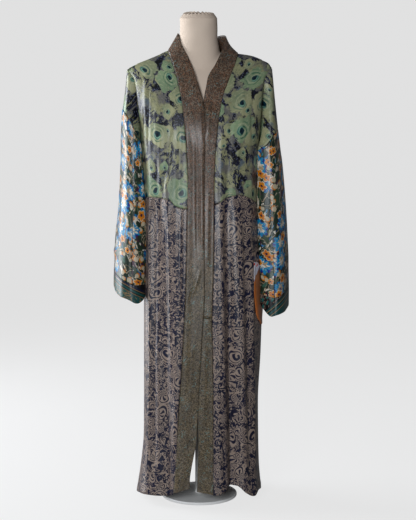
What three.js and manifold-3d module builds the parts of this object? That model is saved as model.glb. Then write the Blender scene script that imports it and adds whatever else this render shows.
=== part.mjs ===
// Kimono on a limbless dress form with a round stand.  Millimetres, +Z up,
// the front looks along -Y and the wearer's left is +X.
// Two cloth surfaces carry every panel: the body tube (angle, height) and one
// sleeve tube a side (angle, height).  Each cut piece is a thin wall on them.
import * as THREE from "three";
import Module from "manifold-3d";

const wasm = await Module();
wasm.setup();
const { Manifold, Mesh } = wasm;

// ---- driving dimensions -------------------------------------------------
const CLOTH = 1.6; // panel wall
const BAND_WALL = 2.0; // band, two layers of cloth
const SEAM = 0.3; // gap between neighbouring pieces
const PLAN_POWER = 2.5; // squareness of the body in plan
const CAP_FOOT = 1050; // height where the shoulders start to round over
const CAP_TOP = 1300; // height parameter of the shoulder ridge
const CAP_FRONT = 1.55; // roundness of the chest towards the ridge
const CAP_BACK = 2.6; // roundness of the upper back
const NECK_X = 11; // middle of the neck opening
const NECK_HALF = 99; // half of the neck opening along the ridge
const NECK_DROP = 28; // back neck below the ridge
const BACK_SEAM_X = -17; // centre-back skirt seam
const VENT_TOP = 250; // top of the open vent in that seam
const VENT_GAP = 34; // opening of the vent at the hem
const BAND_LIFT = 4.2; // upper band over the lower band
const BAND_SPLICE = 547; // joint in the left band
const POLE_R = 12.5;
const BASE_R = 110;
const BASE_H = 8;
const SLEEVE_COLS = 28; // columns round a sleeve
const LOBE_COLS = 12; // of these, the ones on the shoulder cap, front or back

// height parameter | half width right | half width left | depth front | depth back
const BODY = [
  [8, 186, 183, 148, 130],
  [110, 170, 174, 143, 128],
  [196, 161.5, 172, 141, 127],
  [286, 160.5, 171, 140, 127],
  [434, 160, 178, 139, 126],
  [581, 159.6, 181.5, 138, 125],
  [698, 157, 178.5, 136, 122],
  [771, 156.7, 174, 134, 118],
  [857, 158.4, 170.5, 130, 113],
  [900, 160.5, 170, 131, 113],
  [986, 165, 170, 135, 116],
  [1015, 166, 170.8, 137, 118],
  [1050, 170, 175, 139, 120],
  [1100, 175, 181, 139, 122],
  [1150, 184, 186, 139, 122],
  [1200, 190.5, 191, 138, 121],
  [1250, 197, 197.5, 138, 120],
  [1300, 205.5, 207, 138, 120],
];
// x | top of the shoulders
const RIDGE = [
  [-206, 1243],
  [-198, 1249],
  [-180, 1258],
  [-150, 1270],
  [-118, 1283],
  [-88, 1296],
  [-40, 1303],
  [11, 1304],
  [60, 1299],
  [110, 1288],
  [148, 1282],
  [178, 1271],
  [197, 1262],
  [207, 1249],
];
// height | outer x | inner x | half depth, for the right and the left sleeve
const SLEEVE_R = [
  [556, -247, -165.5, 82],
  [620, -247.5, -164.7, 81],
  [690, -244.5, -163.5, 79],
  [755, -240.5, -163, 76],
  [871, -230.5, -164.3, 71],
  [986, -225, -170.5, 66],
  [1008, -224.5, -171, 65],
  [1050, -224, -168, 63],
  [1106, -222.5, -165, 58],
  [1152, -215.5, -166, 50],
  [1209, -208.5, -170, 31],
  [1240, -206, -174, 8],
];
const SLEEVE_L = [
  [536, 259.5, 187.2, 83],
  [567, 259.5, 187.2, 83],
  [630, 259, 186.4, 82],
  [690, 258.5, 184.5, 80],
  [755, 255.5, 179, 77],
  [871, 248, 174.8, 72],
  [986, 237, 176, 66],
  [1008, 233.5, 176.5, 65],
  [1050, 228.5, 173, 62],
  [1106, 222, 172, 57],
  [1157, 216.5, 172, 49],
  [1213, 211, 174, 31],
  [1246, 207.5, 176, 8],
];
// lean of the sleeve's front towards the body
const LEAN_R = 0.16;
const LEAN_L = 0.12;
// heights of the sleeve's joints at: outer | front | inner | back
const ARM_SEAM_R = [1133, 1086, 1010, 1086];
const ARM_SEAM_L = [1074, 1036, 1006, 1046];
const CUFF_SEAM_R = [668, 636, 645, 668];
const CUFF_SEAM_L = [630, 598, 626, 640];
const CUFF_END_R = [618, 587, 605, 622];
const CUFF_END_L = [570, 547, 586, 590];
// x | height of the waist seam in front
const WAIST = [
  [-170, 881],
  [-131, 884],
  [-81, 878],
  [-67, 862],
  [-33, 853],
  [42, 864],
  [53, 869],
  [81, 885],
  [114, 891],
  [142, 882],
  [172, 860],
];
// x | height of the front hem
const HEM = [
  [-190, 13],
  [-169, 28],
  [-140, 31],
  [-98, 32],
  [-78, 39],
  [-62, 47],
  [-25, 62],
  [-6, 49],
  [17, 43],
  [40, 40],
  [74, 48],
  [91, 62],
  [116, 60],
  [130, 40],
  [154, 25],
  [173, 33],
  [186, 20],
];
// x at the waist | x at the hem | half width | rise at the waist | rise at the hem
const SKIRT_FOLDS = [
  [-146, -158, 11, 1, 4],
  [-110, -96, 17, -7, -17],
  [-62, -62, 14, 4, 7],
  [54, 60, 12, 5, 7],
  [80, 103, 12, -8, -23],
  [103, 131, 12, 4, 8],
  [141, 156, 9, 3, 6],
];
const BACK_FOLDS = [
  [-120, -128, 16, 3, 9],
  [-84, -88, 15, -5, -14],
  [-48, -50, 15, 3, 9],
  [20, 22, 15, 3, 9],
  [52, 56, 16, -5, -15],
  [92, 96, 16, 4, 10],
  [130, 136, 13, -3, -9],
];
// x | height | half width | half height | rise, for the soft bumps of the bodice
const BODICE_FOLDS = [
  [-88, 900, 12, 70, 5],
  [-112, 905, 11, 60, -4],
  [-136, 1010, 12, 90, 3],
  [62, 905, 10, 60, 4],
  [82, 900, 9, 60, -4],
  [136, 960, 12, 80, 3],
];
// x of the band's outer seam against height, right and left front
const SEAM_R = [
  [30, -76],
  [112, -64.7],
  [269, -56.6],
  [374, -49.9],
  [484, -44.3],
  [602, -38.4],
  [746, -34.8],
  [853, -33.2],
  [917, -30.3],
  [989, -33],
  [1082, -39.2],
  [1156, -48.1],
  [1210, -59.6],
  [1251, -71.6],
  [1300, -88],
];
const SEAM_L = [
  [30, 40.3],
  [269, 40.2],
  [410, 39.3],
  [538, 37.3],
  [674, 40.3],
  [781, 42],
  [882, 42.5],
  [960, 44.1],
  [1048, 49.3],
  [1100, 55.3],
  [1140, 61.5],
  [1172, 68.3],
  [1203, 79.8],
  [1236, 91.2],
  [1269, 103.2],
  [1300, 110],
];
// band rows from the centre back to the hem.
// seam place: x on the back neck (back) or height of the front seam (front);
// edge: x, y, z, or x and height on the body surface
const BAND_R = [
  { back: 7.85, edge: [5.85, 75, 1330] },
  { back: -20, edge: [-20, 72, 1332] },
  { back: -48, edge: [-43, 60, 1337] },
  { back: -72, edge: [-56, 33, 1343] },
  { back: -88, edge: [-60, 2, 1344.5] },
  { front: 1276, edge: [-50, -31, 1314] },
  { front: 1251, edge: [-33, -56, 1280] },
  { front: 1212, edge: [-14.5, -79, 1236] },
  { front: 1168, edge: [-1, -99, 1194] },
  { front: 1126, edge: [10, -114, 1154] },
  { front: 1082, on: [17, 1096] },
  { front: 1030, on: [17, 1036] },
  { front: 960, on: [15.3, 960] },
  { front: 870, on: [14.3, 870] },
  { front: 746, on: [14.9, 746] },
  { front: 602, on: [15.3, 602] },
  { front: 484, on: [8.4, 484] },
  { front: 374, on: [2, 374] },
  { front: 269, on: [-4, 269] },
  { front: 196, on: [-7.5, 196] },
  { front: 127, on: [-20, 127] },
  { front: 80, on: [-26, 88] },
  { front: 46, on: [-25, 62] },
];
const BAND_L = [
  { back: 8.15, edge: [6.15, 75, 1330] },
  { back: 42, edge: [38, 70, 1336] },
  { back: 74, edge: [61, 53, 1343] },
  { back: 98, edge: [76, 27, 1339] },
  { back: 110, edge: [73, -2, 1320.5] },
  { front: 1272, edge: [61, -46, 1288] },
  { front: 1240, edge: [45, -68, 1254] },
  { front: 1203, edge: [27, -86, 1224] },
  { front: 1166, edge: [19.5, -98, 1190] },
  { front: 1134, edge: [12, -108, 1152] },
  { front: 1100, on: [4, 1108] },
  { front: 1048, on: [-1, 1050] },
  { front: 960, on: [-5, 960] },
  { front: 882, on: [-7, 882] },
  { front: 781, on: [-8, 781] },
  { front: 674, on: [-9, 674] },
  { front: 547, on: [-11, 547] },
  { front: 410, on: [-9, 410] },
  { front: 320, on: [-4.5, 320] },
  { front: 230, on: [-3, 230] },
  { front: 150, on: [-3, 150] },
  { front: 90, on: [-5, 90] },
  { front: 41, on: [-6, 50] },
];
const POCKET_FOOT = 516;
const POCKET_TOP = 700; // top of the facing at its front edge
const POCKET_TOP_SIDE = 645; // and at the side seam
// pocket facing on the left side: height | front edge as an angle in degrees
const POCKET = [
  [516, 60],
  [545, 54.5],
  [600, 52.5],
  [660, 51.5],
  [700, 53],
];
// form: height parameter | half width | depth front | depth back
const FORM = [
  [615, 116, 96, 84],
  [640, 128, 106, 94],
  [700, 138, 114, 102],
  [770, 134, 110, 100],
  [880, 112, 96, 84],
  [960, 126, 108, 92],
  [1050, 146, 122, 104],
  [1150, 158, 124, 106],
  [1230, 172, 124, 104],
  [1270, 182, 124, 102],
  [1300, 190, 123, 100],
];
const FORM_TOP_IN = 9; // form's shoulder ridge below the cloth's
// neck: height | half width | half depth
const NECK = [
  [1180, 92, 66],
  [1232, 78, 62],
  [1262, 65, 58],
  [1288, 56.5, 56],
  [1313, 53, 55],
];
const NECK_CAP = [
  [1313.3, 53.4, 55.4],
  [1340, 53, 55],
  [1380, 53, 55],
  [1394, 52, 54],
  [1403, 46, 48],
  [1409, 34, 36],
  [1413, 18, 19],
];
const NECK_MID = [-1.5, 4];

// ---- small helpers --------------------------------------------------------
const rad = (d) => (d * Math.PI) / 180;
const clamp = (v, a, b) => Math.min(b, Math.max(a, v));
const smooth = (a, b, v) => {
  const t = clamp((v - a) / (b - a), 0, 1);
  return t * t * (3 - 2 * t);
};
const lerp = (a, b, t) => a + (b - a) * t;

// smooth reading of a table column (monotone-safe cubic between rows)
function read(rows, v, col) {
  const n = rows.length;
  if (v <= rows[0][0]) return rows[0][col];
  if (v >= rows[n - 1][0]) return rows[n - 1][col];
  let i = 0;
  while (v > rows[i + 1][0]) i++;
  const slope = (k) => {
    if (k <= 0 || k >= n - 1) return 0;
    const a = (rows[k][col] - rows[k - 1][col]) / (rows[k][0] - rows[k - 1][0]);
    const b = (rows[k + 1][col] - rows[k][col]) / (rows[k + 1][0] - rows[k][0]);
    return a * b <= 0 ? 0 : (2 * a * b) / (a + b);
  };
  const end = (k, j) => (rows[j][col] - rows[k][col]) / (rows[j][0] - rows[k][0]);
  const d = rows[i + 1][0] - rows[i][0];
  const t = (v - rows[i][0]) / d;
  const m0 = (i === 0 ? end(0, 1) : slope(i)) * d;
  const m1 = (i === n - 2 ? end(n - 2, n - 1) : slope(i + 1)) * d;
  const p0 = rows[i][col];
  const p1 = rows[i + 1][col];
  return (
    (2 * t ** 3 - 3 * t * t + 1) * p0 +
    (t ** 3 - 2 * t * t + t) * m0 +
    (3 * t * t - 2 * t ** 3) * p1 +
    (t ** 3 - t * t) * m1
  );
}

// value around a tube from its four quarter values: outer, front, inner, back
function around(q, phi) {
  const a = (q[0] + q[1] + q[2] + q[3]) / 4;
  const s = (q[2] - q[0]) / 2;
  const c = (q[1] - q[3]) / 2;
  const b = (q[1] + q[3] - q[0] - q[2]) / 4;
  return a + s * Math.sin(phi) + c * Math.cos(phi) + b * Math.cos(2 * phi);
}

// ---- cloth surfaces ---------------------------------------------------------
const plan = (s, c) =>
  (Math.abs(s) ** PLAN_POWER + Math.abs(c) ** PLAN_POWER) ** (-1 / PLAN_POWER);

function folds(rows, x, h) {
  let rise = 0;
  const t = clamp((860 - h) / 830, 0, 1);
  const fade = smooth(905, 820, h);
  for (const [x0, x1, w, r0, r1] of rows) {
    const width = w * (1 + 0.25 * t);
    rise += lerp(r0, r1, t) * Math.exp(-(((x - lerp(x0, x1, t)) / width) ** 2));
  }
  return rise * fade;
}

function body(th, h, set) {
  const s = Math.sin(th);
  const c = Math.cos(th);
  const rr = plan(s, c);
  const front = c >= 0;
  const w = read(BODY, h, s < 0 ? 1 : 2);
  const x = w * rr * s;
  const k = clamp((h - CAP_FOOT) / (CAP_TOP - CAP_FOOT), 0, 1);
  const p = front ? CAP_FRONT : CAP_BACK;
  const depth = read(BODY, h, front ? 3 : 4) * (1 - k ** p) ** (1 / p);
  const z = h <= CAP_FOOT ? h : CAP_FOOT + k * (read(RIDGE, x, 1) - CAP_FOOT);
  let y = depth * rr * Math.abs(c);
  let rise = folds(front ? SKIRT_FOLDS : BACK_FOLDS, x, h);
  if (front)
    for (const [fx, fh, fw, fy, r] of BODICE_FOLDS)
      rise += r * Math.exp(-(((x - fx) / fw) ** 2) - ((h - fh) / fy) ** 2);
  rise *= smooth(0, 0.45, Math.abs(c));
  rise += set || 0;
  return new THREE.Vector3(
    x + rise * s,
    (front ? -1 : 1) * (y + SEAM / 2) - rise * c,
    z,
  );
}

function angleAt(x, h, front) {
  let a = -Math.PI / 2;
  let b = Math.PI / 2;
  for (let i = 0; i < 40; i++) {
    const m = (a + b) / 2;
    const s = Math.sin(m);
    const w = read(BODY, h, s < 0 ? 1 : 2) * plan(s, Math.cos(m));
    if (w * s < x) a = m;
    else b = m;
  }
  const m = (a + b) / 2;
  return front ? m : Math.PI - m;
}

// side: -1 right sleeve, +1 left sleeve.  phi 0 front, +90 inner, -90 outer
function sleeve(side, phi, w) {
  const rows = side < 0 ? SLEEVE_R : SLEEVE_L;
  const out = read(rows, w, 1);
  const inn = read(rows, w, 2);
  const b = read(rows, w, 3);
  const s = Math.sin(phi);
  const c = Math.cos(phi);
  const rr = plan(s, c);
  const a = Math.abs(out - inn) / 2;
  const low = smooth(1080, 880, w);
  const wave =
    1.6 * low * Math.cos(3 * phi + 0.6) + 1.2 * low * Math.cos(5 * phi + side);
  const y = -(b + wave) * rr * c;
  const lean = (side < 0 ? LEAN_R : LEAN_L) * smooth(1200, 1000, w);
  return new THREE.Vector3(
    (out + inn) / 2 - side * (a + wave * 0.5) * rr * s + side * lean * y,
    y,
    w,
  );
}

// ---- walls -------------------------------------------------------------------
// grid of surface points -> closed thin wall.  at(u, v) returns a Vector3
function wall(at, nu, nv, thick, ring) {
  const e = 1e-3;
  const pos = [];
  const tri = [];
  const mid = new THREE.Vector3();
  const count = ring ? nu : nu + 1;
  const sample = [];
  for (let j = 0; j <= nv; j++)
    for (let i = 0; i < count; i++) {
      const u = i / nu;
      const v = j / nv;
      const p = at(u, v);
      const u0 = ring ? u - e : Math.max(0, u - e);
      const u1 = ring ? u + e : Math.min(1, u + e);
      const du = at(u1, v).sub(at(u0, v));
      const dv = at(u, Math.min(1, v + e)).sub(at(u, Math.max(0, v - e)));
      const n = du.cross(dv).normalize();
      sample.push([p, n]);
      mid.add(p);
    }
  for (const k of [0.5, -0.5])
    for (const [p, n] of sample) {
      const q = p.clone().addScaledVector(n, k * thick);
      pos.push(q.x, q.y, q.z);
    }
  const half = sample.length;
  const id = (i, j, k) => k * half + j * count + (ring ? i % nu : i);
  const quad = (a, b, c, d) => tri.push(a, b, c, a, c, d);
  for (let j = 0; j < nv; j++)
    for (let i = 0; i < nu; i++) {
      quad(id(i, j, 0), id(i + 1, j, 0), id(i + 1, j + 1, 0), id(i, j + 1, 0));
      quad(id(i, j, 1), id(i, j + 1, 1), id(i + 1, j + 1, 1), id(i + 1, j, 1));
    }
  for (let i = 0; i < nu; i++) {
    quad(id(i, 0, 1), id(i + 1, 0, 1), id(i + 1, 0, 0), id(i, 0, 0));
    quad(id(i, nv, 0), id(i + 1, nv, 0), id(i + 1, nv, 1), id(i, nv, 1));
  }
  if (!ring)
    for (let j = 0; j < nv; j++) {
      quad(id(0, j, 0), id(0, j + 1, 0), id(0, j + 1, 1), id(0, j, 1));
      quad(id(nu, j, 1), id(nu, j + 1, 1), id(nu, j + 1, 0), id(nu, j, 0));
    }
  return solidFrom(pos, tri);
}

function solidFrom(pos, tri) {
  const mesh = new Mesh({
    numProp: 3,
    vertProperties: new Float32Array(pos),
    triVerts: new Uint32Array(tri),
  });
  mesh.merge();
  const made = new Manifold(mesh);
  if (made.volume() > 0) return made;
  const back = [];
  for (let i = 0; i < tri.length; i += 3) back.push(tri[i], tri[i + 2], tri[i + 1]);
  const again = new Mesh({
    numProp: 3,
    vertProperties: new Float32Array(pos),
    triVerts: new Uint32Array(back),
  });
  again.merge();
  return new Manifold(again);
}

// rings of points -> closed solid, each end closed by a fan
function loft(rings) {
  const n = rings[0].length;
  const pos = [];
  const tri = [];
  for (const ring of rings) for (const p of ring) pos.push(p.x, p.y, p.z);
  const id = (i, j) => j * n + (i % n);
  for (let j = 0; j + 1 < rings.length; j++)
    for (let i = 0; i < n; i++)
      tri.push(id(i, j), id(i + 1, j), id(i + 1, j + 1), id(i, j), id(i + 1, j + 1), id(i, j + 1));
  for (const [j, flip] of [
    [0, true],
    [rings.length - 1, false],
  ]) {
    const c = new THREE.Vector3();
    for (const p of rings[j]) c.addScaledVector(p, 1 / n);
    const m = pos.length / 3;
    pos.push(c.x, c.y, c.z);
    for (let i = 0; i < n; i++)
      flip ? tri.push(m, id(i + 1, j), id(i, j)) : tri.push(m, id(i, j), id(i + 1, j));
  }
  return solidFrom(pos, tri);
}

// full body volume moved in or out by d, from height h0 up to the ridge
function bodyVolume(d, h0) {
  const pos = [];
  const tri = [];
  const half = 24;
  const rows = 12;
  const n = 2 * half + 2;
  for (let j = 0; j <= rows; j++) {
    const h = lerp(h0, CAP_TOP, 1 - (1 - j / rows) ** 1.6);
    for (const front of [true, false])
      for (let i = 0; i <= half; i++) {
        const m = lerp(-Math.PI / 2, Math.PI / 2, front ? i / half : 1 - i / half);
        const at = (a, b) => body(front ? a : Math.PI - a, b);
        const e = 1e-3;
        const lo = Math.max(-Math.PI / 2, m - e);
        const hi = Math.min(Math.PI / 2, m + e);
        const du = at(hi, h).sub(at(lo, h));
        const dv = at(m, Math.min(CAP_TOP, h + 0.05)).sub(at(m, h - 0.05));
        const nn = du.cross(dv).normalize();
        if (!front) nn.negate();
        const p = at(m, h).addScaledVector(nn, d);
        pos.push(p.x, p.y, p.z);
      }
  }
  const id = (i, j) => j * n + (i % n);
  for (let j = 0; j < rows; j++)
    for (let i = 0; i < n; i++)
      tri.push(id(i, j), id(i + 1, j), id(i + 1, j + 1), id(i, j), id(i + 1, j + 1), id(i, j + 1));
  for (const [j, flip] of [
    [0, true],
    [rows, false],
  ])
    for (let i = 0; i < half; i++) {
      const a = id(i, j);
      const b = id(i + 1, j);
      const c = id(n - 2 - i, j);
      const e = id(n - 1 - i, j);
      flip ? tri.push(a, e, b, b, e, c) : tri.push(a, b, e, b, c, e);
    }
  return solidFrom(pos, tri);
}

function sleeveVolume(side, d, w0, w1) {
  const rings = [];
  for (let j = 0; j <= 10; j++) {
    const w = lerp(w0, w1, j / 10);
    const ring = [];
    for (let i = 0; i < SLEEVE_COLS; i++) {
      const phi = (i / SLEEVE_COLS) * 2 * Math.PI;
      const e = 1e-3;
      const t = sleeve(side, phi + e, w).sub(sleeve(side, phi - e, w));
      const nn = new THREE.Vector3(t.y, -t.x, 0).normalize();
      const p = sleeve(side, phi, w);
      const out = p.clone().sub(new THREE.Vector3((sleeve(side, 0, w).x + sleeve(side, Math.PI, w).x) / 2, 0, w));
      if (nn.dot(out) < 0) nn.negate();
      ring.push(p.addScaledVector(nn, d));
    }
    rings.push(ring);
  }
  return loft(rings);
}

// ---- cut pieces ----------------------------------------------------------------
const hemAt = (x) => read(HEM, x, 1);
const waistAt = (x, front) => (front ? read(WAIST, x, 1) : lerp(881, 860, clamp((x + 165) / 335, 0, 1)));
const neckAt = (x) => {
  const t = 1 - ((x - NECK_X) / NECK_HALF) ** 2;
  return t <= 0 ? CAP_TOP : CAP_TOP - NECK_DROP * Math.sqrt(t);
};
const seamX = (side, h) => read(side < 0 ? SEAM_R : SEAM_L, h, 1);
const HALF = Math.PI / 2;

// bodice front: band seam to side seam, waist to shoulder
function bodiceFront(side) {
  const rows = (v) => 1 - (1 - v) ** 1.35;
  return wall(
    (u, v) => {
      const t = rows(v);
      let h = lerp(870, CAP_TOP, t);
      const th0 = angleAt(seamX(side, h), h, true);
      const th = side < 0 ? lerp(-HALF, th0 - 0.0012, u) : lerp(th0 + 0.0012, HALF, u);
      const s = Math.sin(th);
      const x = read(BODY, 870, s < 0 ? 1 : 2) * plan(s, Math.cos(th)) * s;
      h = lerp(waistAt(x, true) + SEAM * 0.7, CAP_TOP, t);
      return body(th, h);
    },
    16,
    11,
    CLOTH,
    false,
  );
}

function lobe(side, back) {
  const seam = side < 0 ? ARM_SEAM_R : ARM_SEAM_L;
  const top = side < 0 ? 1240 : 1246;
  return wall(
    (u, v) => {
      const a = -HALF + (u * 2 * Math.PI * LOBE_COLS) / SLEEVE_COLS;
      const phi = back ? -Math.PI - a : a;
      const w = lerp(around(seam, phi) + 1.5 * SEAM, top, 1 - (1 - v) ** 1.5);
      const p = sleeve(side, phi, w);
      p.y += back ? SEAM / 2 : -SEAM / 2;
      return p;
    },
    LOBE_COLS,
    6,
    CLOTH,
    false,
  );
}

function bodiceBack() {
  return wall(
    (u, v) => {
      const th = lerp(Math.PI + HALF, HALF, u);
      const t = 1 - (1 - v) ** 1.35;
      const s = Math.sin(th);
      const rr = plan(s, Math.cos(th));
      const x0 = read(BODY, 1290, s < 0 ? 1 : 2) * rr * s;
      const x1 = read(BODY, 880, s < 0 ? 1 : 2) * rr * s;
      return body(th, lerp(waistAt(x1, false) + SEAM / 2, neckAt(x0) - (neckAt(x0) < CAP_TOP ? SEAM : 0), t));
    },
    28,
    11,
    CLOTH,
    false,
  );
}

function skirtFront(side) {
  return wall(
    (u, v) => {
      const h0 = lerp(30, 870, v);
      const th0 = angleAt(seamX(side, h0), h0, true);
      const th = side < 0 ? lerp(-HALF, th0 - 0.0012, u) : lerp(th0 + 0.0012, HALF, u);
      const s = Math.sin(th);
      const rr = plan(s, Math.cos(th));
      const x = (h) => read(BODY, h, s < 0 ? 1 : 2) * rr * s;
      return body(th, lerp(hemAt(x(30)), waistAt(x(870), true) - SEAM * 0.7, v));
    },
    16,
    12,
    CLOTH,
    false,
  );
}

function skirtBack(side) {
  return wall(
    (u, v) => {
      const h0 = lerp(30, 870, v);
      const gap = SEAM / 2 + (VENT_GAP / 2) * smooth(VENT_TOP, 60, h0);
      const th0 = angleAt(BACK_SEAM_X + side * gap, h0, false);
      const th = side < 0 ? lerp(Math.PI + HALF, th0, u) : lerp(th0, HALF, u);
      const s = Math.sin(th);
      const rr = plan(s, Math.cos(th));
      const x = (h) => read(BODY, h, s < 0 ? 1 : 2) * rr * s;
      const low = lerp(30, hemAt(x(30)), smooth(0.75, 1, Math.abs(s)));
      return body(th, lerp(low, waistAt(x(860), false) - SEAM / 2, v));
    },
    15,
    12,
    CLOTH,
    false,
  );
}

function sleeveTube(side, from, to, cols, rows, thick, set) {
  const inset = SEAM / 2;
  return wall(
    (u, v) => {
      const phi = u * 2 * Math.PI;
      const w = lerp(around(from, phi) + inset, around(to, phi) - inset, v);
      return sleeve(side, phi, w);
    },
    cols,
    rows,
    thick,
    true,
  );
}

// one row of a band: seam point and edge point
function bandRow(side, row) {
  let seam;
  if (row.back !== undefined) {
    const h = neckAt(row.back);
    seam = body(angleAt(row.back, Math.min(h, CAP_TOP - 0.01), false), h);
    seam.y -= 0.3;
    seam.z += 1.9;
  } else {
    const h = row.front;
    seam = body(angleAt(seamX(side, h) - side * 0.45, h, true), h);
  }
  const edge = row.edge
    ? new THREE.Vector3(...row.edge)
    : body(angleAt(row.on[0], row.on[1], true), row.on[1]);
  return { seam, edge, row };
}

function bandAt(side, rows, f, v) {
  const n = rows.length - 1;
  const g = clamp(v, 0, 1) * n;
  const i = Math.min(n - 1, Math.floor(g));
  const t = g - i;
  const pick = (k) => rows[clamp(k, 0, n)];
  const point = (r) => {
    if (r.row.on) {
      const x = lerp(seamX(side, r.row.front) - side * 0.45, r.row.on[0], f);
      const h = lerp(r.row.front, r.row.on[1], f);
      return body(angleAt(x, h, true), h);
    }
    const p = r.seam.clone().lerp(r.edge, f);
    return p;
  };
  const cr = (a, b, c, d) =>
    0.5 * (2 * b + (c - a) * t + (2 * a - 5 * b + 4 * c - d) * t * t + (3 * b - a - 3 * c + d) * t ** 3);
  const q = [pick(i - 1), pick(i), pick(i + 1), pick(i + 2)].map(point);
  return new THREE.Vector3(
    cr(q[0].x, q[1].x, q[2].x, q[3].x),
    cr(q[0].y, q[1].y, q[2].y, q[3].y),
    cr(q[0].z, q[1].z, q[2].z, q[3].z),
  );
}

function band(side, table, v0, v1, rows, spare = 0) {
  const list = table.map((row) => bandRow(side, row));
  return wall(
    (u, v) => {
      const p = bandAt(side, list, lerp(-spare / 50, 1, u), lerp(v0, v1, v));
      if (side < 0) {
        // the right band crosses over the left one below the neck
        const front = smooth(1250, 1170, p.z);
        p.y -= BAND_LIFT * front * smooth(0.02, 0.5, u);
      }
      return p;
    },
    4,
    rows,
    BAND_WALL + 2 * spare,
    false,
  );
}

function pocket() {
  return wall(
    (u, v) => {
      const top = lerp(POCKET_TOP, POCKET_TOP_SIDE, smooth(0.1, 1, u));
      const h = lerp(POCKET_FOOT, top, v);
      const a = rad(lerp(read(POCKET, h, 1), 89.4, u));
      return body(a, h, 2.1);
    },
    6,
    8,
    1.2,
    false,
  );
}

// ---- form and stand ---------------------------------------------------------------
function formTorso() {
  const n = 32;
  const rings = [];
  const heights = [615, 628, 650, 700, 770, 840, 900, 970, 1050, 1110, 1160, 1205, 1240, 1268, 1287, 1297];
  for (const h of heights) {
    const ring = [];
    for (let i = 0; i < n; i++) {
      const th = (i / n) * 2 * Math.PI;
      const s = Math.sin(th);
      const c = Math.cos(th);
      const rr = plan(s, c);
      const x = read(FORM, h, 1) * rr * s;
      const k = clamp((h - CAP_FOOT) / (CAP_TOP - CAP_FOOT), 0, 1);
      const p = c >= 0 ? CAP_FRONT : CAP_BACK;
      const y = read(FORM, h, c >= 0 ? 2 : 3) * (1 - k ** p) ** (1 / p) * rr * c;
      const z = h <= CAP_FOOT ? h : CAP_FOOT + k * (read(RIDGE, x, 1) - FORM_TOP_IN - CAP_FOOT);
      ring.push(new THREE.Vector3(x, -y, z));
    }
    rings.push(ring);
  }
  // the ridge ring is a flat loop, so it is closed straight across
  const pos = [];
  const tri = [];
  for (const ring of rings) for (const p of ring) pos.push(p.x, p.y, p.z);
  const id = (i, j) => j * n + ((i + n) % n);
  for (let j = 0; j + 1 < rings.length; j++)
    for (let i = 0; i < n; i++)
      tri.push(id(i, j), id(i + 1, j), id(i + 1, j + 1), id(i, j), id(i + 1, j + 1), id(i, j + 1));
  for (const [j, flip] of [
    [0, true],
    [rings.length - 1, false],
  ])
    for (let i = -n / 4; i < n / 4; i++) {
      const a = id(i, j);
      const b = id(i + 1, j);
      const c = id(n / 2 - i - 1, j);
      const d = id(n / 2 - i, j);
      const faces =
        i === -n / 4 ? [[a, b, c]] : i === n / 4 - 1 ? [[a, b, d]] : [
          [a, b, c],
          [a, c, d],
        ];
      for (const f of faces) flip ? tri.push(f[0], f[2], f[1]) : tri.push(...f);
    }
  const torso = solidFrom(pos, tri);
  return torso.add(neckLoft(NECK));
}

function neckLoft(rows) {
  return loft(
    rows.map(([z, a, b]) => {
      const ring = [];
      for (let i = 0; i < 30; i++) {
        const t = (i / 30) * 2 * Math.PI;
        ring.push(new THREE.Vector3(NECK_MID[0] + a * Math.sin(t), NECK_MID[1] - b * Math.cos(t), z));
      }
      return ring;
    }),
  );
}

function turned(profile, cols) {
  return loft(
    profile.map(([r, z]) => {
      const ring = [];
      for (let i = 0; i < cols; i++) {
        const t = (i / cols) * 2 * Math.PI;
        ring.push(new THREE.Vector3(r * Math.sin(t), -r * Math.cos(t), z));
      }
      return ring;
    }),
  );
}

// ---- assembly ------------------------------------------------------------------------
const group = new THREE.Group();
const CLOTH_LOOK = new THREE.MeshStandardMaterial({ color: 0x6f7a68, roughness: 0.55 });
const SKIRT_LOOK = new THREE.MeshStandardMaterial({ color: 0x4a4660, roughness: 0.55 });
const SLEEVE_LOOK = new THREE.MeshStandardMaterial({ color: 0x35504a, roughness: 0.55 });
const BAND_LOOK = new THREE.MeshStandardMaterial({ color: 0x6e6055, roughness: 0.55 });
const FORM_LOOK = new THREE.MeshStandardMaterial({ color: 0xe3d5c8, roughness: 0.85 });
const METAL_LOOK = new THREE.MeshStandardMaterial({ color: 0xd8d6d2, roughness: 0.4 });

function put(name, solid, look) {
  const m = solid.getMesh();
  const pos = new Float32Array(m.numVert * 3);
  for (let i = 0; i < m.numVert; i++)
    pos.set(m.vertProperties.subarray(i * m.numProp, i * m.numProp + 3), i * 3);
  const geometry = new THREE.BufferGeometry()
    .setAttribute("position", new THREE.BufferAttribute(pos, 3))
    .setIndex(new THREE.BufferAttribute(new Uint32Array(m.triVerts), 1));
  geometry.computeVertexNormals();
  const mesh = new THREE.Mesh(geometry, look);
  mesh.name = name;
  group.add(mesh);
}

// the largest body of a cut result
function main(solid) {
  const parts = solid.decompose();
  parts.sort((a, b) => b.volume() - a.volume());
  return parts[0].simplify(0.04);
}

const insideBody = bodyVolume(-CLOTH / 2, 900);
const clearBody = bodyVolume(CLOTH / 2 + SEAM + 0.7, 900);
const inR = sleeveVolume(-1, -CLOTH / 2, 960, 1239);
const inL = sleeveVolume(1, -CLOTH / 2, 960, 1245);

const roomR = band(-1, BAND_R, 0, 1, 33, SEAM);
const roomL = band(1, BAND_L, 0, 1, 33, SEAM);

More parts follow.
